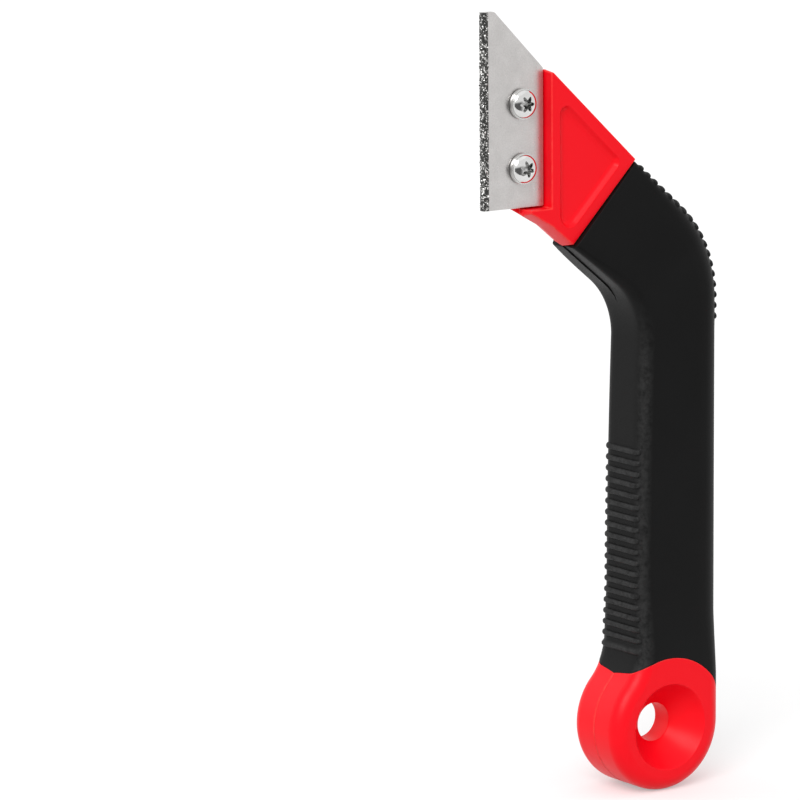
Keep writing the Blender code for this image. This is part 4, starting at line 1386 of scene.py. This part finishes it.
# %% Black rubber
def black_rubber():
    rubber = Finish("black_grip_rubber", Specular_IOR_Level=0.11)
    blotch = rubber.effect(BLOTCHES, "Blotch", Scale=70, Contrast=1.4)
    speckle = rubber.effect(SPECKLE, "Speckle", Scale=3200)
    streak = rubber.effect(SPECKLE, "Speckle", Scale=1400, Stretch=0.04)
    wear_and_painted_light = rubber.effect(WEAR_AND_PAINTED_LIGHT, "Wear_and_painted_light", Scale=600)
    colour = rubber.blend(blotch, (0.003, 0.003, 0.003), (0.0045, 0.0045, 0.0046))
    # Painted highlight: the marked rib crests and finger corner are painted greyer.
    colour = rubber.blend(rubber.span(wear_and_painted_light, 0, 0.6), colour, (0.048, 0.048, 0.048))
    roughness = rubber.span(speckle, 0.4, 0.55, 0.3, 0.7)
    fine = rubber.bump(speckle, 0.5, 0.05 * mm)
    return rubber.finish(colour, roughness, rubber.bump(streak, 0.08, 0.05 * mm, fine))


# %% [markdown]
# The blade is plain tool steel with a tumbled face: a fine mottle, short scratches along its
# length, and brighter edges where it was sheared.

# %% Blade steel
def blade_finish():
    steel = Finish("blade_steel", Metallic=0.85)
    blotch = steel.effect(BLOTCHES, "Blotch", Scale=220, Contrast=1.5)
    speckle = steel.effect(SPECKLE, "Speckle", Scale=2400)
    scratch = steel.effect(SPECKLE, "Speckle", Scale=1500, Stretch=0.3)
    wear_and_painted_light = steel.effect(WEAR_AND_PAINTED_LIGHT, "Wear_and_painted_light", Scale=700)
    colour = steel.blend(blotch, (0.53, 0.515, 0.505), (0.66, 0.64, 0.63))
    colour = steel.blend(steel.span(speckle, 0, 0.4, 0.4, 0.7), colour, (0.42, 0.41, 0.4))
    colour = steel.blend(steel.span(wear_and_painted_light, 0, 0.6), colour, (0.8, 0.79, 0.77))
    roughness = steel.span(scratch, 0.27, 0.36, 0.3, 0.7)
    fine = steel.bump(speckle, 0.18, 0.02 * mm)
    return steel.finish(colour, roughness, steel.bump(scratch, 0.03, 0.02 * mm, fine))


# %% [markdown]
# Crushed carbide glitters: each grain has its own tone, from dark to bright, kept on the mesh as an
# attribute. Flat faces do the rest.

# %% Carbide grit
def grit_finish():
    grit = Finish("brazed_carbide_grit", Metallic=0.85)
    tone = add_node(grit.tree, "ShaderNodeAttribute", {"attribute_name": "grain_tone"}).outputs["Fac"]
    speckle = grit.effect(SPECKLE, "Speckle", Scale=5000)
    wear_and_painted_light = grit.effect(WEAR_AND_PAINTED_LIGHT, "Wear_and_painted_light", Scale=900)
    colour = grit.blend(tone, (0.05, 0.05, 0.048), (0.92, 0.91, 0.89))
    colour = grit.blend(grit.span(wear_and_painted_light, 0, 0.4), colour, (0.85, 0.84, 0.82))
    roughness = grit.span(speckle, 0.18, 0.42, 0.3, 0.7)
    return grit.finish(colour, roughness, grit.bump(speckle, 0.3, 0.03 * mm))


# %% [markdown]
# The screws are polished under bright plate, and their drives, which are marked, are painted dark as
# shade in the recess. The nuts are zinc plated and duller, with a cloudy bloom.
# The nuts are zinc plated and duller, with a cloudy bloom.

# %% Screw plate and nut zinc
def screw_plate():
    plate = Finish("plated_screw_steel", Metallic=1.0)
    blotch = plate.effect(BLOTCHES, "Blotch", Scale=500, Contrast=1.2)
    speckle = plate.effect(SPECKLE, "Speckle", Scale=4500)
    wear_and_painted_light = plate.effect(WEAR_AND_PAINTED_LIGHT, "Wear_and_painted_light", Scale=900)
    colour = plate.blend(blotch, (0.62, 0.62, 0.61), (0.74, 0.74, 0.73))
    # Painted shade: the marked drive recess is painted dark.
    colour = plate.blend(plate.span(wear_and_painted_light, 0, 0.9), colour, (0.22, 0.22, 0.215))
    roughness = plate.span(speckle, 0.07, 0.15, 0.3, 0.7)
    return plate.finish(colour, roughness, plate.bump(speckle, 0.05, 0.01 * mm))


def nut_zinc():
    zinc = Finish("zinc_nut_steel", Metallic=1.0)
    blotch = zinc.effect(BLOTCHES, "Blotch", Scale=400, Contrast=2)
    speckle = zinc.effect(SPECKLE, "Speckle", Scale=4000)
    wear_and_painted_light = zinc.effect(WEAR_AND_PAINTED_LIGHT, "Wear_and_painted_light", Scale=900)
    colour = zinc.blend(blotch, (0.5, 0.51, 0.52), (0.66, 0.65, 0.62))
    colour = zinc.blend(zinc.span(wear_and_painted_light, 0, 0.6), colour, (0.8, 0.79, 0.76))
    roughness = zinc.span(blotch, 0.26, 0.42)
    return zinc.finish(colour, roughness, zinc.bump(speckle, 0.15, 0.02 * mm))


# %% [markdown]
# Each piece gets its finish, the body that it moves with, and the CAD node that it stands for, which
# is hidden; the table's last column, a material slot name, is not used. Where a piece has no mask
# yet, the faces in its second slot up to now, its soft edges or a screw's drive, are noted in the
# mask of worn edges and painted light first.

# %% Dressing the frame
DRESSED = [
    (red_moulding, red_plastic(), "handle", "handle_core", "red_handle_plastic"),
    (soft_grip, black_rubber(), "handle", "grip_sleeve", "black_grip_rubber"),
    (steel_blade, blade_finish(), "blade", "blade_plate", "blade_steel"),
    (carbide_grit, grit_finish(), "blade", "carbide_grit", "brazed_carbide_grit"),
]
plate, zinc = screw_plate(), nut_zinc()
DRESSED += [
    (upper_screw, plate, "upper_screw", "blade_screw_upper", "plated_screw_steel"),
    (lower_screw, plate, "lower_screw", "blade_screw_lower", "plated_screw_steel"),
    (nuts["upper"], zinc, "handle", "hex_nut_upper", "zinc_nut_steel"),
    (nuts["lower"], zinc, "handle", "hex_nut_lower", "zinc_nut_steel"),
]
for piece, finish, body, node, slot in DRESSED:
    if "wear_and_painted_light_mask" not in piece.data.attributes:
        proud = piece.data.attributes.new("wear_and_painted_light_mask", "FLOAT", "FACE")
        proud.data.foreach_set("value", [side.material_index for side in piece.data.polygons])
    piece.data.polygons.foreach_set("material_index", [0] * len(piece.data.polygons))
    piece.data.materials.clear()
    piece.data.materials.append(finish)
    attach(piece, body)
    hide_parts(node)
    print(piece.name, "moves with", body)

# %% [markdown]
# The tool stands on a plain pale floor. For the camera, and in polished metal, the floor glows a
# little, just enough to show white where it is open. Where the tool shades it, it stays darker, so
# the soft contact shadow is kept.

# %% Floor
FLOOR_SIZE = 12.0
FLOOR_FRONT = -0.3
FLOOR_GLOW = 0.38


def larger(tree, first, second):
    node = add_node(tree, "ShaderNodeMath", {"operation": "MAXIMUM"})
    tree.links.new(first, node.inputs[0])
    tree.links.new(second, node.inputs[1])
    return node.outputs["Value"]


def kinds_of_ray(tree):
    """Two numbers: one for rays from the camera, and one for those that metal or glass sends on."""
    path = add_node(tree, "ShaderNodeLightPath")
    sent_on = larger(tree, path.outputs["Is Glossy Ray"], path.outputs["Is Transmission Ray"])
    return path.outputs["Is Camera Ray"], sent_on


def floor_finish():
    finish = Finish("pale_floor", Specular_IOR_Level=0.0, Roughness=0.9)
    finish.feed((0.62, 0.62, 0.62), finish.shader.inputs["Base Color"])
    finish.feed((1.0, 1.0, 1.0), finish.shader.inputs["Emission Color"])
    glow = finish.span(larger(finish.tree, *kinds_of_ray(finish.tree)), 0, FLOOR_GLOW)
    finish.feed(glow, finish.shader.inputs["Emission Strength"])
    return finish.material


bpy.ops.object.select_all(action="DESELECT")
bpy.ops.mesh.primitive_plane_add(size=FLOOR_SIZE, location=(0, FLOOR_SIZE / 2 + FLOOR_FRONT, 0))
floor = bpy.context.active_object
floor.name = "pale_floor"
floor.data.materials.append(floor_finish())

# %% [markdown]
# The light is a plain studio's. The room is white, but for a dim patch at the front, near
# the floor, which only metal and gloss show. Three soft lamps shine in: one from the upper left, a
# very wide one overhead, and one from the back on the left. They are sun lamps with wide disks, so
# the floor is lit evenly out to the horizon.

# %% Light
ROOM_LEVEL = 0.72
ROOM_DIM = 0.12
LAMPS = {
    "left_lamp": ((-0.6, -0.5, 0.6), 1.6, 34),
    "top_lamp": ((0, -0.15, 1), 0.2, 80),
    "back_lamp": ((-0.55, 0.7, 0.45), 0.3, 50),
}


def smooth_step(tree, source, start, end):
    node = add_node(
        tree, "ShaderNodeMapRange", {"interpolation_type": "SMOOTHSTEP"},
        {"From Min": start, "From Max": end},
    )
    tree.links.new(source, node.inputs["Value"])
    return node.outputs["Result"]


def choose(tree, share, first, second):
    """The first number where the share is zero, and the second where it is one."""
    node = add_node(tree, "ShaderNodeMix", {"data_type": "FLOAT"})
    for source, socket in ((share, 0), (first, 2), (second, 3)):
        if isinstance(source, bpy.types.NodeSocket):
            tree.links.new(source, node.inputs[socket])
        else:
            node.inputs[socket].default_value = source
    return node.outputs[0]


def light_the_room():
    world = bpy.data.worlds.new("white_room")
    bpy.context.scene.world = world
    world.use_nodes = True
    tree = world.node_tree
    place = add_node(tree, "ShaderNodeTexCoord")
    parts = add_node(tree, "ShaderNodeSeparateXYZ")
    tree.links.new(place.outputs["Generated"], parts.inputs["Vector"])
    front = smooth_step(tree, parts.outputs["Y"], -0.3, -0.6)
    low = smooth_step(tree, parts.outputs["Z"], 0.2, 0.0)
    middle = smooth_step(tree, parts.outputs["X"], 0.4, 0.0)
    camera_ray, sent_on = kinds_of_ray(tree)
    mirrored = choose(tree, front, 1, choose(tree, low, 1, choose(tree, middle, 1, ROOM_DIM)))
    level = choose(tree, camera_ray, choose(tree, sent_on, ROOM_LEVEL, mirrored), 1)
    background = tree.nodes["Background"]
    background.inputs["Color"].default_value = (1, 1, 1, 1)
    tree.links.new(level, background.inputs["Strength"])


light_the_room()
for name, (direction, strength, width) in LAMPS.items():
    bpy.ops.object.light_add(type="SUN", location=direction)
    lamp = bpy.context.active_object
    lamp.name = name
    lamp.data.energy = strength
    lamp.data.angle = math.radians(width)
    lamp.rotation_euler = Vector(direction).to_track_quat("Z", "Y").to_euler()
